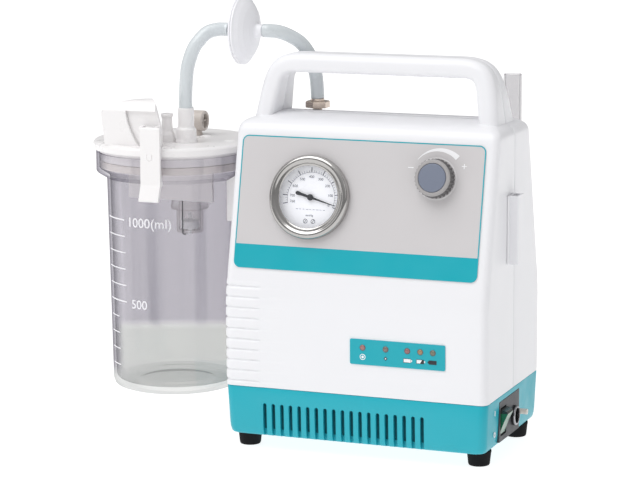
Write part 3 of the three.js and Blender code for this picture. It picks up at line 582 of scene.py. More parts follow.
# in-line filter: two moulded halves clamped at the rim, with stems for the hoses
fi = fillet([(2.2, -0.15), (26.7, -0.15), (26.7, -1.5), (24.6, -2.3), (23.6, -3.0), (14, -4.0), (8, -4.6), (5.2, -5.4), (5.0, -11.2), (2.2, -11.2)], [0, 0.2, 0.5, 0.6, 0.8, 4, 2, 1, 0.6, 0.2], 4, True)
fo = fillet([(2.2, 0.15), (26.7, 0.15), (26.7, 1.5), (25.0, 2.6), (22.6, 4.9), (18.4, 7.6), (12, 10.1), (6.2, 11.3), (5.1, 12.3), (5.0, 16.9), (2.2, 16.9)], [0, 0.2, 0.5, 0.8, 4, 5, 5, 2, 1, 0.6, 0.2], 5, True)
filter_in = piece("filter_inlet", *lathe(fi, 96, True), FILTER, "lid", "filter_white", ["filter_inlet_half"], along_x(*FIL))
filter_out = piece("filter_outlet", *lathe(fo, 96, True), FILTER, "lid", "filter_white", ["filter_outlet_half"], along_x(*FIL))
hose("hose_from_jar", LEFT, "hose_left", "lid")
hose("hose_to_pump", RIGHT, "hose_right", "lid")


# ------------------------------------------------------------------ housing halves
def smin(a, b, k):
    h = max(k - abs(a - b), 0) / k
    return min(a, b) - h * h * k / 4


def half_depth(z):
    low = 67.0 + 0.6 * min(1, max(0, (z - 50) / 12))
    return smin(low, 66.5 - SL * (z - 125), 2.4)


RIB_Z = [127 - 8.1 * i for i in range(10)]


def rib(z):
    """How far the grip ribs stand off the wall at this height; the grooves between them go below it."""
    if z > 131.8:
        return 0.0
    ramp = min(1, max(0, (131.8 - z) / 1.8))
    g = sum(math.exp(-((z - q) / 0.85) ** 2) for q in RIB_Z)
    return 0.32 * ramp - 1.15 * min(1, g)


def shell_half(side):
    rows = [50.0, 50.5, 51.5]
    for q in RIB_Z:
        rows += [q + d for d in (-3.0, -2.0, -1.4, -0.95, -0.6, -0.3, 0, 0.3, 0.6, 0.95, 1.4, 2.0, 3.0)]
    rows += [130.0, 130.6, 131.2, 131.8, 132.5, 134, 137, 140, 150, 160, 180, 200, 215, 230, 240]
    rows = sorted(r for r in rows if r >= 50.0)
    lev = [(z, 0.0, half_depth(z)) for z in rows]
    lev += [(243, 0, 40.1), (244.6, 0.25, 39.5), (246.2, 0.7, 38.7), (247.7, 1.4, 37.6), (249.0, 2.4, 36.2), (250.2, 3.8, 34.4), (251.2, 5.6, 32.2), (252.0, 7.8, 29.6), (252.7, 10.2, 26.2), (253.3, 12.8, 22), (253.9, 15.5, 17), (254.35, 18, 11.5), (254.65, 20.5, 6), (254.8, 22.5, 1.2), (254.6, 22.7, 0.7), (254.1, 22.8, 0.3)]
    xs = [1.0, 0.75, 0.5, 0.25, 0.0, -0.25, -0.5]

    def row(z, inset, hy, shrink, groove):
        hx = HALF_W - inset - shrink
        hy = max(0.3, hy - shrink) if hy > 3.4 or not shrink else 0.3
        r = max(0.05, min(6.0 - shrink * 0.8, hy * 0.9))
        pts = []
        seam = [(0.5, 0.3), (0.15, 0.6), (0.0, 1.2)]
        for dx, y in seam:
            pts.append((hx - (dx if hy > 1.3 else 0), min(y, hy)))
        y0, y1 = min(1.2, hy), max(min(1.2, hy), hy - r)
        for j in range(1, 6):
            pts.append((hx, y0 + (y1 - y0) * j / 5))
        for j in range(1, 9):
            t = math.radians(90 * j / 8)
            pts.append((hx - r + r * math.cos(t), hy - r + r * math.sin(t)))
        for k in xs[1:]:
            pts.append(((hx - r) * k, hy))
        left = [-74.5, -75.5, -76.3, -77.0, -77.8, -79.0, -88.0]
        for x in left:
            pts.append((max(x, -(hx - r) + 0.2 * (1 + left.index(x) - len(left))), hy))
        pts.append((-(hx - r), hy))
        for j in range(1, 9):
            t = math.radians(90 + 90 * j / 8)
            pts.append((-(hx - r) + r * math.cos(t), hy - r + r * math.sin(t)))
        ysteps = [0.0, 0.25, 0.4, 0.46, 0.5, 0.54, 0.6, 0.8, 1.0]
        for k in ysteps[1:]:
            pts.append((-hx, y1 + (y0 - y1) * k))
        for dx, y in seam[::-1][1:]:
            pts.append((-(hx - (dx if hy > 1.3 else 0)), min(y, hy)))
        out = []
        d = rib(z) if groove else 0.0
        for x, y in pts:
            if d and x < -74:
                w = min(1, max(0, (-74.4 - x) / 3.8)) * min(1, max(0, (y - 31) / 3.0))
                nx, ny = 0.0, 0.0
                if x < -(hx - r):
                    ex, ey = x + (hx - r), max(0.0, y - (hy - r))
                    q = math.hypot(ex, ey) or 1
                    nx, ny = ex / q, ey / q
                else:
                    ny = 1.0
                x, y = x + nx * d * w, y + ny * d * w
            out.append((x, side * y, z - (shrink if z > 246 else 0)))
        return out

    outer = [row(z, i, h, 0.0, side < 0) for z, i, h in lev]
    inner = [row(z, i, h, 3.0, False) for z, i, h in lev]
    n, m = len(outer), len(outer[0])
    verts = [p for r in outer for p in r] + [p for r in inner for p in r]
    O = lambda i, j: i * m + j
    I = lambda i, j: n * m + i * m + j
    faces = []
    for i in range(n - 1):
        for j in range(m - 1):
            faces.append([O(i, j), O(i, j + 1), O(i + 1, j + 1), O(i + 1, j)])
            faces.append([I(i, j), I(i + 1, j), I(i + 1, j + 1), I(i, j + 1)])
        for j in (0, m - 1):
            faces.append([O(i, j), O(i + 1, j), I(i + 1, j), I(i, j)])
    for j in range(m - 1):
        faces.append([O(0, j), I(0, j), I(0, j + 1), O(0, j + 1)])
        faces.append([O(n - 1, j), O(n - 1, j + 1), I(n - 1, j + 1), I(n - 1, j)])
    return verts, faces


def arch_half(side):
    O = [(-99.6, 240), (-98.0, 250), (-96.6, 259), (-95.2, 269), (-93.2, 279), (-90.6, 286.8), (-86.6, 292.9), (-80.6, 297.3), (-72, 299.8), (-62, 300.4), (-31, 300.4), (0, 300.4)]
    I = [(-78.5, 240), (-83.0, 250), (-82.0, 257.5), (-80.1, 268), (-78.5, 276.3), (-77.0, 281.4), (-74.4, 284.2), (-70.6, 285.4), (-66, 285.6), (-58, 285.6), (-30, 285.6), (0, 285.6)]
    O += [(-x, z) for x, z in O[:-1][::-1]]
    I += [(-x, z) for x, z in I[:-1][::-1]]
    so, si = spline(O, 5), spline(I, 5)
    verts, faces = [], []
    m = None

    def w(z):
        base = 24.6 - 0.251 * (z - 246)
        return base + (2.6 * ((256 - z) / 9) ** 2 if z < 256 else 0)

    for o, i in zip(so, si):
        mid, a = (o + i) / 2, (o - i).length / 2
        e = (o - i) / (2 * a)
        ro, ri = min(6.0, a * 0.9), min(4.2, a * 0.6)
        half = []
        wm = w(mid.y)
        seq = [(a - 0.5, 0.3), (a - 0.15, 0.6), (a, 1.2), (a, (wm - ro) * 0.5), (a, wm - ro)]
        seq += [(a - ro + ro * math.cos(math.radians(t)), wm - ro + ro * math.sin(math.radians(t))) for t in (11.25, 22.5, 33.75, 45, 56.25, 67.5, 78.75, 90)]
        seq += [(a * 0.15, wm)]
        seq += [(-(a - ri) - ri * math.sin(math.radians(t)), wm - ri + ri * math.cos(math.radians(t))) for t in (0, 15, 30, 45, 60, 75, 90)]
        seq += [(-a, (wm - ri) * 0.5), (-a, 1.2), (-(a - 0.15), 0.6), (-(a - 0.5), 0.3)]
        for s, q in seq:
            x, z = mid.x + e.x * s, mid.y + e.y * s
            q2 = q if q < 1.3 else 1.2 + (q - 1.2) * (w(z) - 1.2) / (wm - 1.2)
            half.append((x, side * q2, z))
        m = len(half)
        verts += half
    k = len(so)
    for i in range(k - 1):
        for j in range(m):
            l = (j + 1) % m
            faces.append([i * m + j, i * m + l, (i + 1) * m + l, (i + 1) * m + j])
    faces += [list(range(m)), [(k - 1) * m + j for j in range(m)][::-1]]
    return verts, faces


def bore(f, r, d0=-9.0, d1=6.0):
    ob = raw("cut", *lathe([(0, d0), (r, d0), (r, d1), (0, d1)], 96), f)
    finish_mesh(ob)
    return ob


front_ob = raw("shell_front", *shell_half(-1))
finish_mesh(front_ob)
csg(front_ob, bore(panel_at(*GAUGE), 29.3), "DIFFERENCE")
csg(front_ob, bore(panel_at(*KNOB), 9.4), "DIFFERENCE")
settle(front_ob, SHELL, "housing", ["front_shell"], angle=50)
piece("shell_rear", *merged([shell_half(1)]), SHELL, "housing", "white_shell", ["rear_shell"], angle=50)
piece("handle_front", *arch_half(-1), SHELL, "housing", "white_shell", angle=60)
piece("handle_rear", *arch_half(1), SHELL, "housing", "white_shell", angle=60)


# ------------------------------------------------------------------ base tray
def loft_full(levels, r, n=10):
    return [[(x, y, z) for x, y in rrect(hx, hy, r, n)] for z, hx, hy in levels]


def skin(rows, cap0=True, cap1=True):
    n, m = len(rows), len(rows[0])
    verts = [p for r in rows for p in r]
    faces = [[i * m + j, i * m + (j + 1) % m, (i + 1) * m + (j + 1) % m, (i + 1) * m + j] for i in range(n - 1) for j in range(m)]
    if cap0:
        faces.append(list(range(m))[::-1])
    if cap1:
        faces.append([(n - 1) * m + j for j in range(m)])
    return verts, faces


tray_rows = loft_full([(11.6, 99.6, 62.0), (11.75, 100.6, 63.0), (12.4, 101.9, 64.2), (13.6, 102.7, 65.0), (16.5, 103.35, 65.6), (20, 103.7, 65.85), (49.2, 104.95, 66.95), (49.6, 104.8, 66.8), (49.7, 104.5, 66.5)], 6.5)
tray_rows += loft_full([(49.7, 102.3, 64.3), (40, 101.8, 63.8), (17.5, 100.6, 62.6), (15.6, 98.5, 60.5)], 4.5)
tray = raw("tray", *skin(tray_rows))
finish_mesh(tray)
cuts = []
for i in range(19):
    x = -72.5 + 127.0 * i / 18
    loop = [(x - 1.5, 8.0), (x + 1.5, 8.0), (x + 1.5, 36.2), (x + 1.1, 37.1), (x, 37.55), (x - 1.1, 37.1), (x - 1.5, 36.2)]
    v, f = prism(loop, 0, 1)
    cuts.append(([(p[0], -75 if p[2] < 0.5 else -61.9, p[1]) for p in v], f))
cutter = raw("cut", *merged(cuts))
finish_mesh(cutter)
csg(tray, cutter, "DIFFERENCE")
cutter = raw("cut", *boxv(96, 112, -34.7, 15.6, 14.2, 45.7))
finish_mesh(cutter)
csg(tray, cutter, "DIFFERENCE")
settle(tray, TEAL, "housing", ["base_tray"], angle=35)
# painted shade: the dark sheet behind the vent slots
piece("vent_liner", *boxv(-80, 62, -60.9, -60.1, 16.2, 40), VENT_SHADE, "housing", "teal_tray", (), bevel=0.1)
for n in ("front_left", "front_right", "rear_left", "rear_right"):
    sx, sy = (-1 if "left" in n else 1), (-1 if "front" in n else 1)
    prof = fillet([(0, 0), (7.7, 0), (8.2, 1.2), (9.1, 9.3), (9.3, 9.8), (9.3, 11.3), (0, 11.3)], [0, 0.6, 1, 0.4, 0.3, 0.2, 0], 4)
    piece("rubber_" + n, *lathe(prof, 64), RUBBER, "housing", "foot_rubber", ["foot_" + n], at(sx * 93, sy * 46.6))
    prof = fillet([(0, 9.2), (3.0, 9.3), (3.8, 9.9), (3.8, 11.2), (2.0, 11.25), (2.0, 34), (0, 34)], [0, 0.3, 0.3, 0.1, 0, 0.2, 0], 3)
    piece("screw_" + n, *lathe(prof, 32), STEEL, "housing", "screw_steel", ["case_screw_" + n], at(sx * 74, sy * 50))

# ------------------------------------------------------------------ panel label, gauge and regulator
mid_v, half_v = (up(240) + up(141.3)) / 2, (up(240) - up(141.3)) / 2
plane = lambda p: onp(p[0], p[1], p[2])
outer = rrect(97.2, half_v, 5.2, 12, -1.2, mid_v)
label_ob = raw("panel_label", *prism(outer, 0.05, 0.72), plane)
finish_mesh(label_ob)
csg(label_ob, bore(panel_at(*GAUGE), 29.3), "DIFFERENCE")
csg(label_ob, bore(panel_at(*KNOB), 3.6), "DIFFERENCE")
settle(label_ob, LABEL, "housing", ["front_label"], bevel=0.12)
inset = rrect(96.35, half_v - 0.85, 4.4, 12, -1.2, mid_v)
stripe_v = up(159.0)
inner_loop = []
for i, (x, v) in enumerate(inset):
    inner_loop.append((x, v) if v > mid_v else ((-1.2 + 96.35) if x > 0 else (-1.2 - 96.35), stripe_v - 0.001 * i * 0))
# the lower corners of the opening are square, on the stripe's upper edge
k = 13
for i in range(k):
    inner_loop[i] = (-1.2 + 96.35, stripe_v)
for i in range(3 * k, 4 * k):
    inner_loop[i] = (-1.2 - 96.35, stripe_v)
piece("panel_print", *ring_plate(outer, inner_loop, 0.70, 0.80), PRINT_TEAL, "housing", "teal_label", (), plane)

G = panel_at(*GAUGE)
case = fillet([(0, -24), (29, -24), (29, 4.1), (27.6, 4.1), (27.6, -2.2), (0, -2.2)], [0, 1, 0.3, 0.3, 0.5, 0], 4)
piece("gauge_can", *lathe(case, 96), STEEL, "housing", "bezel_steel", ["gauge_case"], G)
bez = [(29.4, 0.9), (31.0, 0.9), (31.7, 1.1), (32.0, 1.8), (32.0, 3.4), (31.8, 4.4), (31.3, 5.4), (30.6, 6.2), (29.7, 6.7), (28.8, 6.85), (28.0, 6.75), (27.3, 6.45), (26.8, 6.0), (26.3, 5.85), (25.2, 5.75), (24.3, 5.6), (23.8, 5.35), (23.6, 5.05), (23.75, 4.85), (29.2, 4.75)]
piece("gauge_ring", *lathe(bez, 144, True), CHROME, "housing", "bezel_steel", ["gauge_bezel"], G, angle=55)
piece("dial_plate", *lathe(fillet([(1.3, -1.8), (27.3, -1.8), (27.3, -1.0), (1.3, -1.0)], 0.1, 2, True), 96, True), DIAL, "housing", "dial_white", ["gauge_dial"], G)
gl = [(0, 3.4), (20, 3.35), (27.2, 3.2), (27.2, 4.2), (20, 4.4), (10, 4.6), (0, 4.68)]
piece("gauge_lens", *lathe(gl, 96), GLASS, "housing", "gauge_glass", ["gauge_glass"], G, angle=60)


def dial_angle(p):
    return math.radians(-20.4 + 0.282 * p)


marks = []
H0, H1 = -1.02, -0.9
arc = [dial_angle(760 * i / 90) for i in range(91)]
ring_v = [(r * math.cos(a), r * math.sin(a), h) for h in (H0, H1) for r in (19.0, 19.2) for a in arc]
m_ = len(arc)
rf = []
for i in range(m_ - 1):
    o0, i0, o1, i1 = m_, 0, 3 * m_, 2 * m_
    rf += [[i1 + i, o1 + i, o1 + i + 1, i1 + i + 1], [i0 + i, i0 + i + 1, o0 + i + 1, o0 + i], [o0 + i, o0 + i + 1, o1 + i + 1, o1 + i], [i0 + i, i1 + i, i1 + i + 1, i0 + i + 1]]
rf += [[0, m_, 3 * m_, 2 * m_], [m_ - 1, 2 * m_ - 1 + 0 * m_ + m_ * 0, 4 * m_ - 1, 3 * m_ - 1][:4]]
rf[-1] = [m_ - 1, 3 * m_ - 1, 4 * m_ - 1, 2 * m_ - 1]
marks.append((ring_v, rf))


def tick(a, r0, r1, w):
    c, s = math.cos(a), math.sin(a)
    return [(x * c - y * s, x * s + y * c, h) for h in (H0, H1) for x, y in ((r0, -w / 2), (r1, -w / 2), (r1, w / 2), (r0, w / 2))], [[3, 2, 1, 0], [4, 5, 6, 7], [0, 1, 5, 4], [1, 2, 6, 5], [2, 3, 7, 6], [3, 0, 4, 7]]


for p in list(range(0, 701, 100)) + [760]:
    marks.append(tick(dial_angle(p), 19.2, 22.9, 0.6))
for p in range(0, 761, 20):
    if p % 100:
        marks.append(tick(dial_angle(p), 19.2, 20.7, 0.22))
for p in list(range(0, 701, 100)) + [760]:
    a = dial_angle(p)
    r = 15.6 if p < 700 else 15.2
    marks.append(moved(text(str(p), 2.9, 0.1), lambda q, a=a, r=r: (q[0] + r * math.cos(a), q[1] + r * math.sin(a), q[2] - 0.95)))
marks.append(moved(text("mmHg", 2.3, 0.1), lambda q: (q[0] - 0.3, q[1] - 13.6, q[2] - 0.95)))
for i in range(9):
    marks.append(boxv(-11.6 + 2.75 * i, -9.6 + 2.75 * i - (0.5 if i % 3 else 0), -9.25, -8.95, H0, H1))
for cx_ in (-3.2, 3.0):
    marks.append(moved(ring_plate([(1.75 * math.cos(t * math.pi / 16), 1.75 * math.sin(t * math.pi / 16)) for t in range(32)], [(1.35 * math.cos(t * math.pi / 16), 1.35 * math.sin(t * math.pi / 16)) for t in range(32)], H0, H1), lambda q, c=cx_: (q[0] + c, q[1] - 18.0, q[2])))
    marks.append(moved(tick(math.radians(60), -1.2, 1.2, 0.4), lambda q, c=cx_: (q[0] + c, q[1] - 18.0, q[2])))
piece("dial_print", *merged(marks), GREY_INK, "housing", "needle_black", (), G, angle=20)
aN = dial_angle(0) + math.radians(5)
loop = [(-11.3, 1.45), (-12.3, 0.9), (-12.6, 0), (-12.3, -0.9), (-11.3, -1.45), (-9.8, -1.4), (-8.0, -1.05), (0, -0.9), (12, -0.5), (20.9, -0.2), (20.9, 0.2), (12, 0.5), (0, 0.9), (-8.0, 1.05), (-9.8, 1.4)]
turn = lambda q: G((q[0] * math.cos(aN) - q[1] * math.sin(aN), q[0] * math.sin(aN) + q[1] * math.cos(aN), q[2]))
hub = lathe(fillet([(0, -1.9), (1.0, -1.9), (1.0, 0.0), (2.4, 0.0), (2.4, 1.2), (1.9, 2.0), (0, 2.2)], [0, 0, 0, 0.2, 0.4, 0.4, 0], 3), 40)
piece("needle", *merged([prism(loop, 0.2, 0.75), hub]), DARK_INK, "needle", "needle_black", ["gauge_needle"], turn, bevel=0.08)

K = panel_at(*KNOB)
ringw = [(14.95, 0.7), (15.9, 0.7), (15.9, 0.82), (15.75, 0.9), (14.95, 0.9)]
piece("knob_scale_ring", *lathe(ringw, 96, True), KNOB_BASE, "housing", "white_shell", (), K)
NF = 30
verts, faces = [], []
hs = [(0.9, 13.5), (1.1, 13.78), (8.3, 13.5), (9.0, 13.2), (9.3, 12.7)]
seg = NF * 6
for h, r in hs:
    for j in range(seg):
        a = 2 * math.pi * j / seg
        c = math.cos(NF * a)
        rr = r - 1.0 * (0.5 - 0.5 * max(-1, min(1, 1.6 * c))) * (1 if h > 0.95 else 0.6)
        verts.append((rr * math.cos(a), rr * math.sin(a), h))
k = len(hs)
for i in range(k - 1):
    faces += [[i * seg + j, i * seg + (j + 1) % seg, (i + 1) * seg + (j + 1) % seg, (i + 1) * seg + j] for j in range(seg)]
faces += [list(range(seg))[::-1], [(k - 1) * seg + j for j in range(seg)]]


def flared(q):
    f = 1 + 0.07 * min(1, max(0, (math.hypot(q[0], q[1]) - 11.0) / 1.2))
    return K((q[0] * f, q[1] * f, q[2]))


piece("knob_body", verts, faces, KNOB_DARK, "knob", "knob_grey", ["regulator_knob"], flared, angle=50)
rim = fillet([(10.9, 8.6), (12.75, 8.6), (12.9, 9.5), (12.2, 10.7), (11.1, 10.95), (10.9, 10.4)], [0, 0.2, 0.4, 0.5, 0.4, 0.2], 4, True)
piece("knob_rim", *lathe(rim, 96, True), KNOB_RIM, "knob", "knob_grey", (), flared)
capp = fillet([(0, 8.7), (10.75, 8.7), (10.75, 10.5), (10.2, 11.1), (6, 11.25), (0, 11.3)], [0, 0.1, 0.4, 0.5, 3, 0], 4)
piece("knob_inlay", *lathe(capp, 96), CAP, "knob", "cap_grey", ["knob_cap"], K)
piece("knob_shaft", *lathe(fillet([(0, -12.2), (2.8, -12.2), (2.8, 5.4), (0, 5.4)], [0, 0.3, 0.3, 0], 2), 32), STEEL, "knob", "screw_steel", ["regulator_stem"], K)
val = fillet([(0, -26), (9, -26), (9, -3.4), (3.4, -3.4), (3.4, -12.6), (0, -12.6)], [0, 0.5, 0.5, 0.2, 0.2, 0], 3)
piece("valve", *lathe(val, 48), NICKEL, "housing", "valve_brass", ["regulator_valve"], K)
# the printed arc round the knob, narrow at the low end and wide at the high end, with end marks
A0, A1, NA = 139.0, 46.0, 40
top_, bot_ = [], []
for i in range(NA + 1):
    t = i / NA
    a = math.radians(A0 + (A1 - A0) * t)
    ro = 20.5 + 0.15 + 3.9 * t
    top_.append((ro * math.cos(a), ro * math.sin(a)))
    bot_.append((20.4 * math.cos(a), 20.4 * math.sin(a)))
piece("vacuum_arc", *prism(top_ + bot_[::-1], 0.7, 0.82), WHITE_INK, "housing", "white_shell", (), K, angle=20)
signs = [boxv(-22.6, -18.2, 7.1, 7.8, 0.7, 0.82), boxv(19.2, 23.0, 9.9, 10.5, 0.7, 0.82), boxv(20.8, 21.4, 8.3, 12.1, 0.7, 0.81)]
piece("arc_signs", *merged(signs), WHITE_INK, "housing", "white_shell", (), K)

# ------------------------------------------------------------------ indicator strip
FY = -67.6
front = lambda p: (p[0], FY - p[2], p[1])
strip = rrect(37.65, 9.7, 1.2, 8, 35.65, 84.1)
piece("indicator_strip", *prism(strip, 0.02, 0.72), PRINT_TEAL, "housing", "teal_label", ["indicator_label"], front, bevel=0.12)
LX = [8.2, 26.5, 43.6, 53.8, 63.7]
for i, x in enumerate(LX):
    prof = fillet([(0, 0.1), (2.0, 0.1), (2.0, 0.9), (1.5, 1.4), (0, 1.7)], [0, 0, 0.3, 0.6, 0], 4)
    piece("lamp_%d" % (i + 1), *lathe(prof, 32), LEDS[i], "housing", "lamp_red", ["indicator_lamps"] if i == 0 else (), lambda p, x=x: (x + p[0], FY - p[2], 87.5 + p[1]))
    bez_ = [(2.02, 0.5), (2.35, 0.5), (2.35, 0.82), (2.2, 0.92), (2.02, 0.82)]
    piece("lamp_ring_%d" % (i + 1), *lathe(bez_, 32, True), GREY_INK, "housing", "black_plastic", (), lambda p, x=x: (x + p[0], FY - p[2], 87.5 + p[1]))
icons_w, icons_d = [], []


def circ(r, n=32, cx=0, cy=0):
    return [(cx + r * math.cos(2 * math.pi * i / n), cy + r * math.sin(2 * math.pi * i / n)) for i in range(n)]


icons_w.append(ring_plate(circ(2.3, 32, 8.2, 80.4), circ(1.75, 32, 8.2, 80.4), 0.7, 0.8))
icons_w.append(prism(circ(1.0, 24, 8.2, 80.4), 0.7, 0.8))
icons_d.append(prism([(26.5, 82.0), (24.9, 80.4), (26.5, 78.8), (28.1, 80.4)], 0.7, 0.8))
icons_w.append(prism(circ(0.55, 16, 26.5, 80.4), 0.79, 0.86))
for x, fill in ((43.6, 0.0), (53.8, 0.5), (63.7, 1.0)):
    body_ = rrect(3.0, 1.55, 0.35, 4, x, 80.2)
    w_, d_ = (prism, prism)
    if fill < 1:
        icons_w.append(prism(body_, 0.7, 0.8))
        icons_w.append(prism(rrect(0.45, 0.7, 0.15, 3, x + 3.4, 80.2), 0.7, 0.8))
        if fill > 0:
            icons_d.append(prism([(x - 0.2, 78.7), (x + 3.0, 78.7), (x + 3.0, 81.7), (x + 1.6, 81.7)], 0.79, 0.86))
        icons_d.append(ring_plate(rrect(3.05, 1.6, 0.35, 4, x, 80.2), rrect(2.75, 1.3, 0.2, 4, x, 80.2), 0.79, 0.85))
    else:
        icons_d.append(prism(body_, 0.7, 0.8))
        icons_d.append(prism([(x - 3.0, 81.6), (x - 4.2, 80.2), (x - 3.0, 78.8)], 0.7, 0.8))
piece("icons_light", *merged(icons_w), WHITE_INK, "housing", "white_shell", (), front, angle=20)
piece("icons_dark", *merged(icons_d), DARK_INK, "housing", "needle_black", (), front, angle=20)

# ------------------------------------------------------------------ right side: switch plate, inlet, sockets
for node, mat, bev in (("switch_plate", PLATE, 0.5), ("power_inlet", BLACK, 0.3), ("switch_housing", BLACK, 0.3), ("power_rocker", GREEN, 0.5), ("earth_stud", OFFWHITE, 0.3),
                       ("side_socket_right", SHELL, 0.7), ("side_socket_left", SHELL, 0.7), ("jar_hanger", LID, 0.6), ("hose_nipple", NICKEL, 0.45),
                       ("tube_holder", SHELL, 0.8), ("motor", MOTOR, 0.8), ("motor_bracket", CAST, 0.5), ("pump_head", CAST, 0.6), ("battery_pack", BATTERY, 1.0), ("circuit_board", BOARD, 0.2),
                       ("vacuum_tube", HOSE, 0), ("crankshaft", STEEL, 0.3), ("cooling_fan", BLACK, 0.2), ("connecting_rod", CAST, 0.4), ("latch_pin", STEEL, 0.2)):
    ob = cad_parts[node]
    ob.data.materials.clear()
    ob.data.materials.append(mat)
    ob.data.shade_smooth()
    if bev:
        soften(ob, bev, 3)
    else:
        ob.data.set_sharp_from_angle(angle=math.radians(32))

# printed I and O beside the switch
sidep = lambda p: (104.35 + p[2], p[0], p[1])
pr = [boxv(-45.4, -44.7, 37.6, 41.4, 0.1, 0.75), moved(ring_plate(circ(2.0, 28), circ(1.4, 28), -0.1, 0.45), lambda q: (q[0] - 45.0, q[1] + 23.2, q[2]))]
piece("switch_marks", *merged(pr), WHITE_INK, "housing", "white_shell", (), sidep, angle=20)
pins = [moved(lathe(fillet([(0, -3), (1.15, -3), (1.15, 1.2), (0.7, 1.7), (0, 1.8)], [0, 0, 0.3, 0.3, 0], 3), 24), lambda q: q)]
piece("inlet_pin", *merged(pins), STEEL, "housing", "screw_steel", (), along_x(103, 2.2, 27.4))
nutr = fillet([(5.9, 3.2), (7.4, 3.2), (7.4, 4.3), (6.9, 4.9), (5.9, 4.9)], [0, 0.2, 0.4, 0.3, 0.2], 3, True)
piece("inlet_nut", *lathe(nutr, 48, True), NUT_DARK, "housing", "bezel_steel", (), along_x(103, 2.2, 27.4))

# ------------------------------------------------------------------ jar
J = at(JX, JY)
R0, Z0, R1, Z1 = 51.0, 36.8, 53.3, 199.1
jar_prof = fillet([(0, 35.2), (29.5, 35.2), (33.5, 32.6), (36, 31.9), (45.5, 31.9), (49.6, 33.4), (R0, 37.4), (R1, Z1), (60.7, 203.6), (61.5, 204.6), (61.5, 219.8), (59.1, 219.8), (59.1, 206.7), (R1 - 2.4, 201.2), (R0 - 2.4, 39.8), (46.5, 37.8), (36, 37.4), (32, 38.6), (0, 38.6)],
                  [0, 1.5, 1, 1, 2.5, 2.5, 3, 3.5, 0.8, 0.6, 0.6, 0.5, 1, 3, 2, 2, 1.5, 1, 0], 5)
piece("jar_body", *lathe(jar_prof, 160), CLEAR, "jar", "clear_plastic", ["jar"], J, angle=60)


def wall(z):
    return R0 + (R1 - R0) * (z - Z0) / (Z1 - Z0)


def wrap(vf, a0, z0):
    return moved(vf, lambda q: ((wall(z0 + q[1]) + 0.06 + q[2]) * math.cos(math.radians(a0) + q[0] / wall(z0)), (wall(z0 + q[1]) + 0.06 + q[2]) * math.sin(math.radians(a0) + q[0] / wall(z0)), z0 + q[1]))


def finely(vf, step=1.5):
    me = bpy.data.meshes.new("t")
    me.from_pydata(vf[0], [], vf[1])
    bm = bmesh.new()
    bm.from_mesh(me)
    bmesh.ops.triangulate(bm, faces=bm.faces)
    for _ in range(2):
        long = [e for e in bm.edges if e.calc_length() > step]
        if long:
            bmesh.ops.subdivide_edges(bm, edges=long, cuts=1)
            bmesh.ops.triangulate(bm, faces=bm.faces)
    bm.verts.index_update()
    out = [tuple(v.co) for v in bm.verts], [[v.index for v in f.verts] for f in bm.faces]
    bm.free()
    bpy.data.meshes.remove(me)
    return out


def dash(a0, a1, z, w):
    n = max(4, int(abs(a1 - a0) / 1.5))
    verts, faces = [], []
    for i in range(n + 1):
        a = math.radians(a0 + (a1 - a0) * i / n)
        for r, dz in ((0.04, -w / 2), (0.12, -w / 2), (0.12, w / 2), (0.04, w / 2)):
            rr = wall(z) + r
            verts.append((rr * math.cos(a), rr * math.sin(a), z + dz))
    for i in range(n):
        faces += [[i * 4 + k_, (i + 1) * 4 + k_, (i + 1) * 4 + (k_ + 1) % 4, i * 4 + (k_ + 1) % 4] for k_ in range(4)]
    faces += [[0, 1, 2, 3], [n * 4 + 3, n * 4 + 2, n * 4 + 1, n * 4]]
    return verts, faces


grad = []
for i in range(10):
    z = 169.5 - 13.05 * i
    major = i in (0, 5)
    grad.append(dash(-142, -114 if major or i in (1, 2, 3, 4) else -126, z, 1.0 if major else 0.8))
grad.append(wrap(finely(text("1000(ml)", 10.6, 0.12)), -89.0, 168.0))
grad.append(wrap(finely(text("500", 10.0, 0.12)), -99.5, 103.0))
piece("jar_graduations", *merged(grad), MARK, "jar", "lid_white", (), J, angle=20)

# ------------------------------------------------------------------ lid and its ports
lid_prof = fillet([(0, 225.2), (54.5, 225.2), (55.5, 224), (55.5, 213.4), (56.0, 213.2), (58.4, 213.2), (58.4, 222.2), (63.7, 222.2), (63.7, 226.6), (62.4, 228.4), (60.5, 228.75), (0, 228.8)],
                  [0, 0.6, 0.6, 0.2, 0.2, 0.4, 0.4, 0.5, 1.0, 1.0, 1.0, 0], 5)
piece("lid_disc", *lathe(lid_prof, 160), LID, "lid", "lid_white", ["lid"], J)
piece("lid_seal", *lathe(fillet([(55, 207.2), (58.5, 207.2), (58.5, 212.9), (55, 212.9)], 0.7, 4, True), 128, True), GASKET, "lid", "gasket", ["lid_gasket"], J)
bead = fillet([(57.2, 228.4), (58.8, 228.4), (58.8, 229.1), (57.2, 229.1)], 0.35, 3, True)
vp = fillet([(3.0, TOP - 0.4), (8.6, TOP - 0.4), (8.4, 230.2), (8.0, 231.4), (8.0, 239.0), (7.2, 240.2), (6.5, 240.6), (6.3, 241.4), (6.3, 255.4), (5.95, 255.9), (5.5, 255.9), (5.4, 252.2), (3.0, 252.2)], [0, 0.2, 0.6, 0.5, 0.8, 0.6, 0.4, 0.3, 0.4, 0.3, 0.2, 0.2, 0], 4, True)
piece("port_vacuum", *lathe(vp, 64, True), LID, "lid", "lid_white", ["vacuum_port"], at(*VAC))
pp = fillet([(2.1, TOP - 0.4), (6.6, TOP - 0.4), (6.4, 231.4), (6.0, 234.2), (4.4, 237.6), (4.1, 247.6), (5.0, 249.6), (4.7, 251), (2.6, 251)], [0, 0.2, 0.5, 1.5, 1.5, 0.8, 0.5, 0.4, 0.2], 4, True)
piece("port_patient", *lathe(pp, 56, True), LID, "lid", "lid_white", ["patient_port"], at(*PAT))
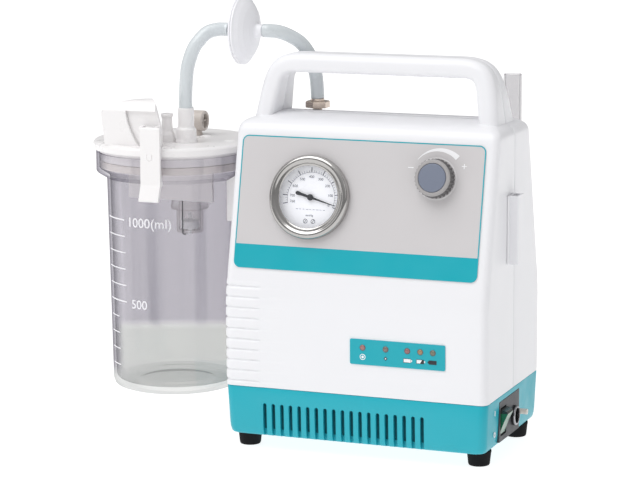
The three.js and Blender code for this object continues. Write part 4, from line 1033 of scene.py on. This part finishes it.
leg = lathe(fillet([(0, TOP - 0.4), (5.4, TOP - 0.4), (4.8, 230.6), (4.8, ELB[2]), (0, ELB[2])], [0, 0.2, 0.8, 0, 0], 4), 48)
barrel = fillet([(0, -8), (7.3, -8), (8.1, -7.2), (8.1, 7.4), (7.5, 8.2), (5.8, 8.2), (5.5, 7.6), (5.5, -1), (0, -1)], [0, 0.4, 0.5, 0.5, 0.4, 0.2, 0.4, 0.3, 0], 4)
bar = moved(lathe(barrel, 64), lambda p: (p[2], p[1], ELB[2] - p[0]))
cross = [boxv(-0.9, 6.6, -5.6, 5.6, ELB[2] - 0.6, ELB[2] + 0.6), boxv(-0.9, 6.6, -0.6, 0.6, ELB[2] - 5.6, ELB[2] + 5.6)]
piece("port_spare", *merged([leg, bar] + cross), BEIGE, "lid", "port_beige", ["spare_port"], at(ELB[0], ELB[1]))

piece("lid_dimple_1", *lathe([(0, 228.5), (1, 228.5), (0.98, 228.9), (0.8, 229.35), (0.5, 229.6), (0.2, 229.7), (0, 229.7)], 40), LID, "lid", "lid_white", (), lambda p: (-155.4 + p[0] * 4.6, 17.3 + p[1] * 3.4, p[2]))
piece("lid_dimple_2", *lathe([(0, 228.5), (1, 228.5), (0.98, 228.9), (0.8, 229.35), (0.5, 229.6), (0.2, 229.7), (0, 229.7)], 40), LID, "lid", "lid_white", (), lambda p: (-127.3 + p[0] * 4.6, -1.8 + p[1] * 3.4, p[2]))

# latch hood: roof, fin and front wall
A = lambda pts: spline([Vector(p) for p in pts], 6)
hood_front = [(-210, TOP - 0.4), (-210.8, 234), (-211.7, 241), (-212.5, 248), (-212.9, 252.6), (-212.4, 255.6), (-210.4, 257.9), (-206.5, 259.8), (-200, 261.5), (-192, 263), (-182, 264.1), (-174, 264.5), (-170.4, 264.0), (-168.6, 262.2), (-166.8, 256), (-165.2, 250), (-163.8, 243.5), (-163.2, 236), (-163.2, TOP - 0.4)]
hood_side = [(-53.5, TOP - 0.4), (-53.5, 252.5), (-53.3, 254.6), (-52.3, 256.9), (-50.4, 259.6), (-48, 262), (-45.2, 263.8), (-42, 264.6), (-39, 264.2), (-36.6, 262.4), (-35.0, 259.6), (-34.5, 256), (-34.5, TOP - 0.4)]
hf, hs_ = [(p[0], p[1]) for p in spline(hood_front, 3)], [(p[0], p[1]) for p in spline(hood_side, 3)]


def yprism(loop, y0, y1):
    v, f = prism(loop, 0, 1)
    return [(p[0], y1 if p[2] > 0.5 else y0, p[1]) for p in v], f


def xprism(loop, x0, x1):
    v, f = prism(loop, 0, 1)
    return [(x1 if p[2] > 0.5 else x0, p[0], p[1]) for p in v], f


def blank(vf):
    ob = raw("cut", *vf)
    finish_mesh(ob)
    return ob


def mold():
    m = blank(yprism(hf, -80, -20))
    return csg(m, blank(xprism(hs_, -230, -150)), "INTERSECT")


hood = mold()
inner_side = [(p[0], p[1]) for p in spline([(-60, 200), (-60, 252.4), (-52.6, 252.4), (-51.2, 254.0), (-49.2, 257.2), (-46, 260.3), (-42, 261.9), (-36, 261.0), (-30, 256), (-30, 200)], 1)]
cav = csg(blank(xprism(inner_side, -230, -150)), blank(boxv(-208.9, -150, -51.1, -20, 200, 280)), "INTERSECT")
csg(hood, cav, "DIFFERENCE")
fin_edge = [(-181.2, 200), (-181.6, 226), (-182.6, 230), (-185, 234), (-187.6, 239), (-189.8, 244.5), (-191.4, 250), (-192.2, 255.9), (-150, 255.9), (-150, 200)]
csg(hood, blank(yprism([(p[0], p[1]) for p in spline(fin_edge[:8], 3)] + fin_edge[8:], -75, -50.4)), "DIFFERENCE")
cutp, cf = prism([(-168.5, -48.2), (-177.5, -37), (-177.5, -20), (-150, -20), (-150, -48.2)], 220, 290)
csg(hood, blank((cutp, cf)), "DIFFERENCE")
csg(hood, csg(mold(), blank(boxv(-197, -160, -50.4, -48.2, TOP - 0.3, 263.2)), "INTERSECT"), "UNION")
settle(hood, LID, "lid", ["latch_hood"], angle=40, bevel=0.45, segments=2)
for x0, x1, nm in ((-178.4, -176.0, "left"), (-166.0, -163.6, "right")):
    ear = fillet([(-48.6, 238.6), (-48.6, 245.0), (-55, 244.9), (-58.2, 244.4), (-59.0, 242.6), (-58.4, 240.4), (-55, 239.4)], [0, 0, 2, 1.5, 1.5, 1.5, 2], 4, True)
    piece("latch_ear_" + nm, *xprism(ear, x0, x1), LID, "lid", "lid_white", (), bevel=0.3)
strap_side = fillet([(-64.4, 245.4), (-66.4, 245.4), (-67.1, 244.4), (-67.3, 201.4), (-71.6, 189.8), (-71.4, 188.7), (-69.5, 188.3), (-64.6, 200.0), (-62.3, 200.3), (-62.2, 203.2), (-64.4, 204.6)], [0.5, 0.8, 0.8, 3, 0.5, 0.4, 0.5, 2, 0.5, 0.5, 0.6], 4, True)
strap = blank(xprism(strap_side, -173.6, -157.0))
notch = [(x + 2.6, z) for x, z in ((-170.6, 224.6), (-169.9, 224.6), (-169.9, 221.2), (-169.2, 220.3), (-168.2, 220.1), (-167.2, 220.3), (-166.5, 221.2), (-166.5, 224.6), (-165.8, 224.6), (-165.8, 220.9), (-166.7, 219.7), (-168.2, 219.3), (-169.7, 219.7), (-170.6, 220.9))]
csg(strap, blank(yprism(notch, -70, -66.6)), "DIFFERENCE")
settle(strap, LID, "latch", ["latch_strap"], bevel=0.35, segments=2)
arm = fillet([(-65.5, 241.2), (-65.8, 243.8), (-58.5, 244.8), (-56.3, 244.9), (-54.3, 243.6), (-54.0, 242.4), (-54.6, 240.9), (-56.3, 240.2), (-58.8, 241.0)], [0.2, 0.4, 2, 1.2, 1, 1, 1, 1, 1], 4, True)
piece("strap_arm", *xprism(arm, -173.2, -166.4), LID, "latch", "lid_white", (), bevel=0.3)

# splash plate, float cage, float and its wire
clo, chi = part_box("float_cage")
CG = ((clo[0] + chi[0]) / 2 * 1000 - CX, (clo[1] + chi[1]) / 2 * 1000 - CY)
CZ = clo[2] * 1000 - 152
sp = fillet([(-213.8, 180), (-141.0, 179.4), (-141.0, 206), (-144, 212), (-144, 222), (-208.5, 222), (-208.5, 212), (-213.8, 208)], [1.5, 1.5, 2, 2, 0.5, 0.5, 2, 2], 4, True)
ob = blank(yprism(sp, -4.8, -2.6))
csg(ob, blank(boxv(-192, -160, -14, -2.6, 221.5, 225.0)), "UNION")
settle(ob, LID, "lid", ["splash_plate"], bevel=0.35)
ctop = 224.8 - CZ
cg = fillet([(4.4, ctop), (7.5, ctop), (8, 212), (14.6, 180.6), (15, 179), (15, 176.5), (10.6, 176.5), (10.6, 158.2), (10.0, 157.6), (3.5, 157.6), (3.5, 159.4), (8.9, 159.4), (8.9, 178.5), (4.4, 205)], [0.3, 0.3, 6, 1, 0.5, 0.5, 0.3, 0.4, 0.3, 0.3, 0.3, 0.3, 2, 3], 4, True)
piece("cage", *lathe(cg, 72, True), CAGE, "lid", "clear_plastic", ["float_cage"], at(*CG, CZ), angle=55)
fl = fillet([(0, 155.4), (1.2, 155.6), (1.4, 156.2), (1.4, 160.2), (6.6, 160.2), (7.2, 161), (7.2, 166.4), (1.6, 168.2), (1.6, 172), (0, 172.6)], [0, 0.2, 0.2, 0.2, 0.4, 0.5, 0.8, 0.6, 0.5, 0], 3)
piece("float_body", *lathe(fl, 48), FLOAT, "float", "float_white", ["float"], at(*CG, CZ))
wire = spline([(-0.8, -12.2, 184), (-0.8, -12.2, 176), (-0.8, -12.2, 166), (-0.8, -12.2, 159.0), (-0.2, -12.0, 157.4), (1.6, -11.3, 157.2)], 6)
piece("cage_wire", *tube(wire, 0.55, 12), DARK_INK, "lid", "screw_steel", (), at(*CG, CZ))

# ------------------------------------------------------------------ catheter tube
tp = fillet([(0, TZ0), (6.2, TZ0), (7.1, 125), (7.1, 279.2), (7.0, 280.2), (6.1, 280.2), (6.0, 279.4), (6.0, 126), (0, 125.4)], [0, 0.8, 0.8, 0.3, 0.4, 0.4, 0.3, 1, 0], 4)
piece("tube_clear", *lathe(tp, 64), TUBE, "catheter", "clear_plastic", ["catheter_tube"], at(TX, TY), angle=60)

# ------------------------------------------------------------------ floor, world and light
me = bpy.data.meshes.new("floor")
s = 60.0
me.from_pydata([(-s, -s, 0), (s, -s, 0), (s, s, 0), (-s, s, 0)], [], [[0, 1, 2, 3]])
floor = bpy.data.objects.new("floor", me)
col.objects.link(floor)
m, nt, out, tc = start("floor_white")
b = nt.nodes.new("ShaderNodeBsdfPrincipled")
b.inputs["Base Color"].default_value = (0.26, 0.26, 0.26, 1)
b.inputs["Roughness"].default_value = 0.7
b.inputs["Specular IOR Level"].default_value = 0.2
b.inputs["Emission Color"].default_value = (1, 1, 1, 1)
b.inputs["Emission Strength"].default_value = 0.90
nt.links.new(b.outputs[0], out.inputs["Surface"])
me.materials.append(m)

world = bpy.data.worlds.new("studio")
scene.world = world
world.use_nodes = True
nt = world.node_tree
nt.nodes.clear()
wo = nt.nodes.new("ShaderNodeOutputWorld")
bg = nt.nodes.new("ShaderNodeBackground")
tcw = nt.nodes.new("ShaderNodeTexCoord")
sep = nt.nodes.new("ShaderNodeSeparateXYZ")
nt.links.new(tcw.outputs["Generated"], sep.inputs[0])
ramp = nt.nodes.new("ShaderNodeValToRGB")
els = ramp.color_ramp.elements
els[0].position, els[0].color = 0.0, (0.50, 0.50, 0.51, 1)
els[1].position, els[1].color = 1.0, (1.35, 1.35, 1.35, 1)
for pos, v in ((0.42, 0.34), (0.52, 0.40), (0.62, 0.56), (0.80, 0.74)):
    e = els.new(pos)
    e.color = (v, v, v * 1.01, 1)
mr = nt.nodes.new("ShaderNodeMapRange")
mr.inputs["From Min"].default_value, mr.inputs["From Max"].default_value = -1, 1
nt.links.new(sep.outputs["Z"], mr.inputs["Value"])
nt.links.new(mr.outputs["Result"], ramp.inputs["Fac"])
nt.links.new(ramp.outputs["Color"], bg.inputs["Color"])
bg.inputs["Strength"].default_value = 0.63
# the room behind the floor is a plain white sweep
sweep = nt.nodes.new("ShaderNodeBackground")
sweep.inputs["Color"].default_value = (1, 1, 1, 1)
path = nt.nodes.new("ShaderNodeLightPath")
both = nt.nodes.new("ShaderNodeMixShader")
nt.links.new(path.outputs["Is Camera Ray"], both.inputs[0])
nt.links.new(bg.outputs[0], both.inputs[1])
nt.links.new(sweep.outputs[0], both.inputs[2])
nt.links.new(both.outputs[0], wo.inputs["Surface"])


def sun(name, direction, strength, angle):
    d = bpy.data.lights.new(name, "SUN")
    d.energy, d.angle = strength, math.radians(angle)
    o = bpy.data.objects.new(name, d)
    o.rotation_mode = "QUATERNION"
    o.rotation_quaternion = (-Vector(direction)).to_track_quat("-Z", "Y")
    col.objects.link(o)


def area(name, loc, target, size, power):
    d = bpy.data.lights.new(name, "AREA")
    d.shape, d.size, d.size_y, d.energy = "RECTANGLE", size[0], size[1], power
    o = bpy.data.objects.new(name, d)
    o.location = loc
    o.rotation_mode = "QUATERNION"
    o.rotation_quaternion = (Vector(target) - Vector(loc)).to_track_quat("-Z", "Y")
    col.objects.link(o)


sun("sun_soft", (-0.30, -0.42, 0.86), 1.42, 50)
area("softbox_left", (-1.6, -1.5, 1.0), (0, 0, 0.15), (0.7, 1.4), 2.7)
area("softbox_right", (1.9, -0.9, 1.1), (0, 0, 0.15), (0.4, 1.2), 1.2)
scene.view_settings.view_transform = "Standard"
scene.view_settings.look = "None"
scene.view_settings.exposure = 0.0
if hasattr(scene, "cycles"):
    scene.cycles.transparent_max_bounces = 24
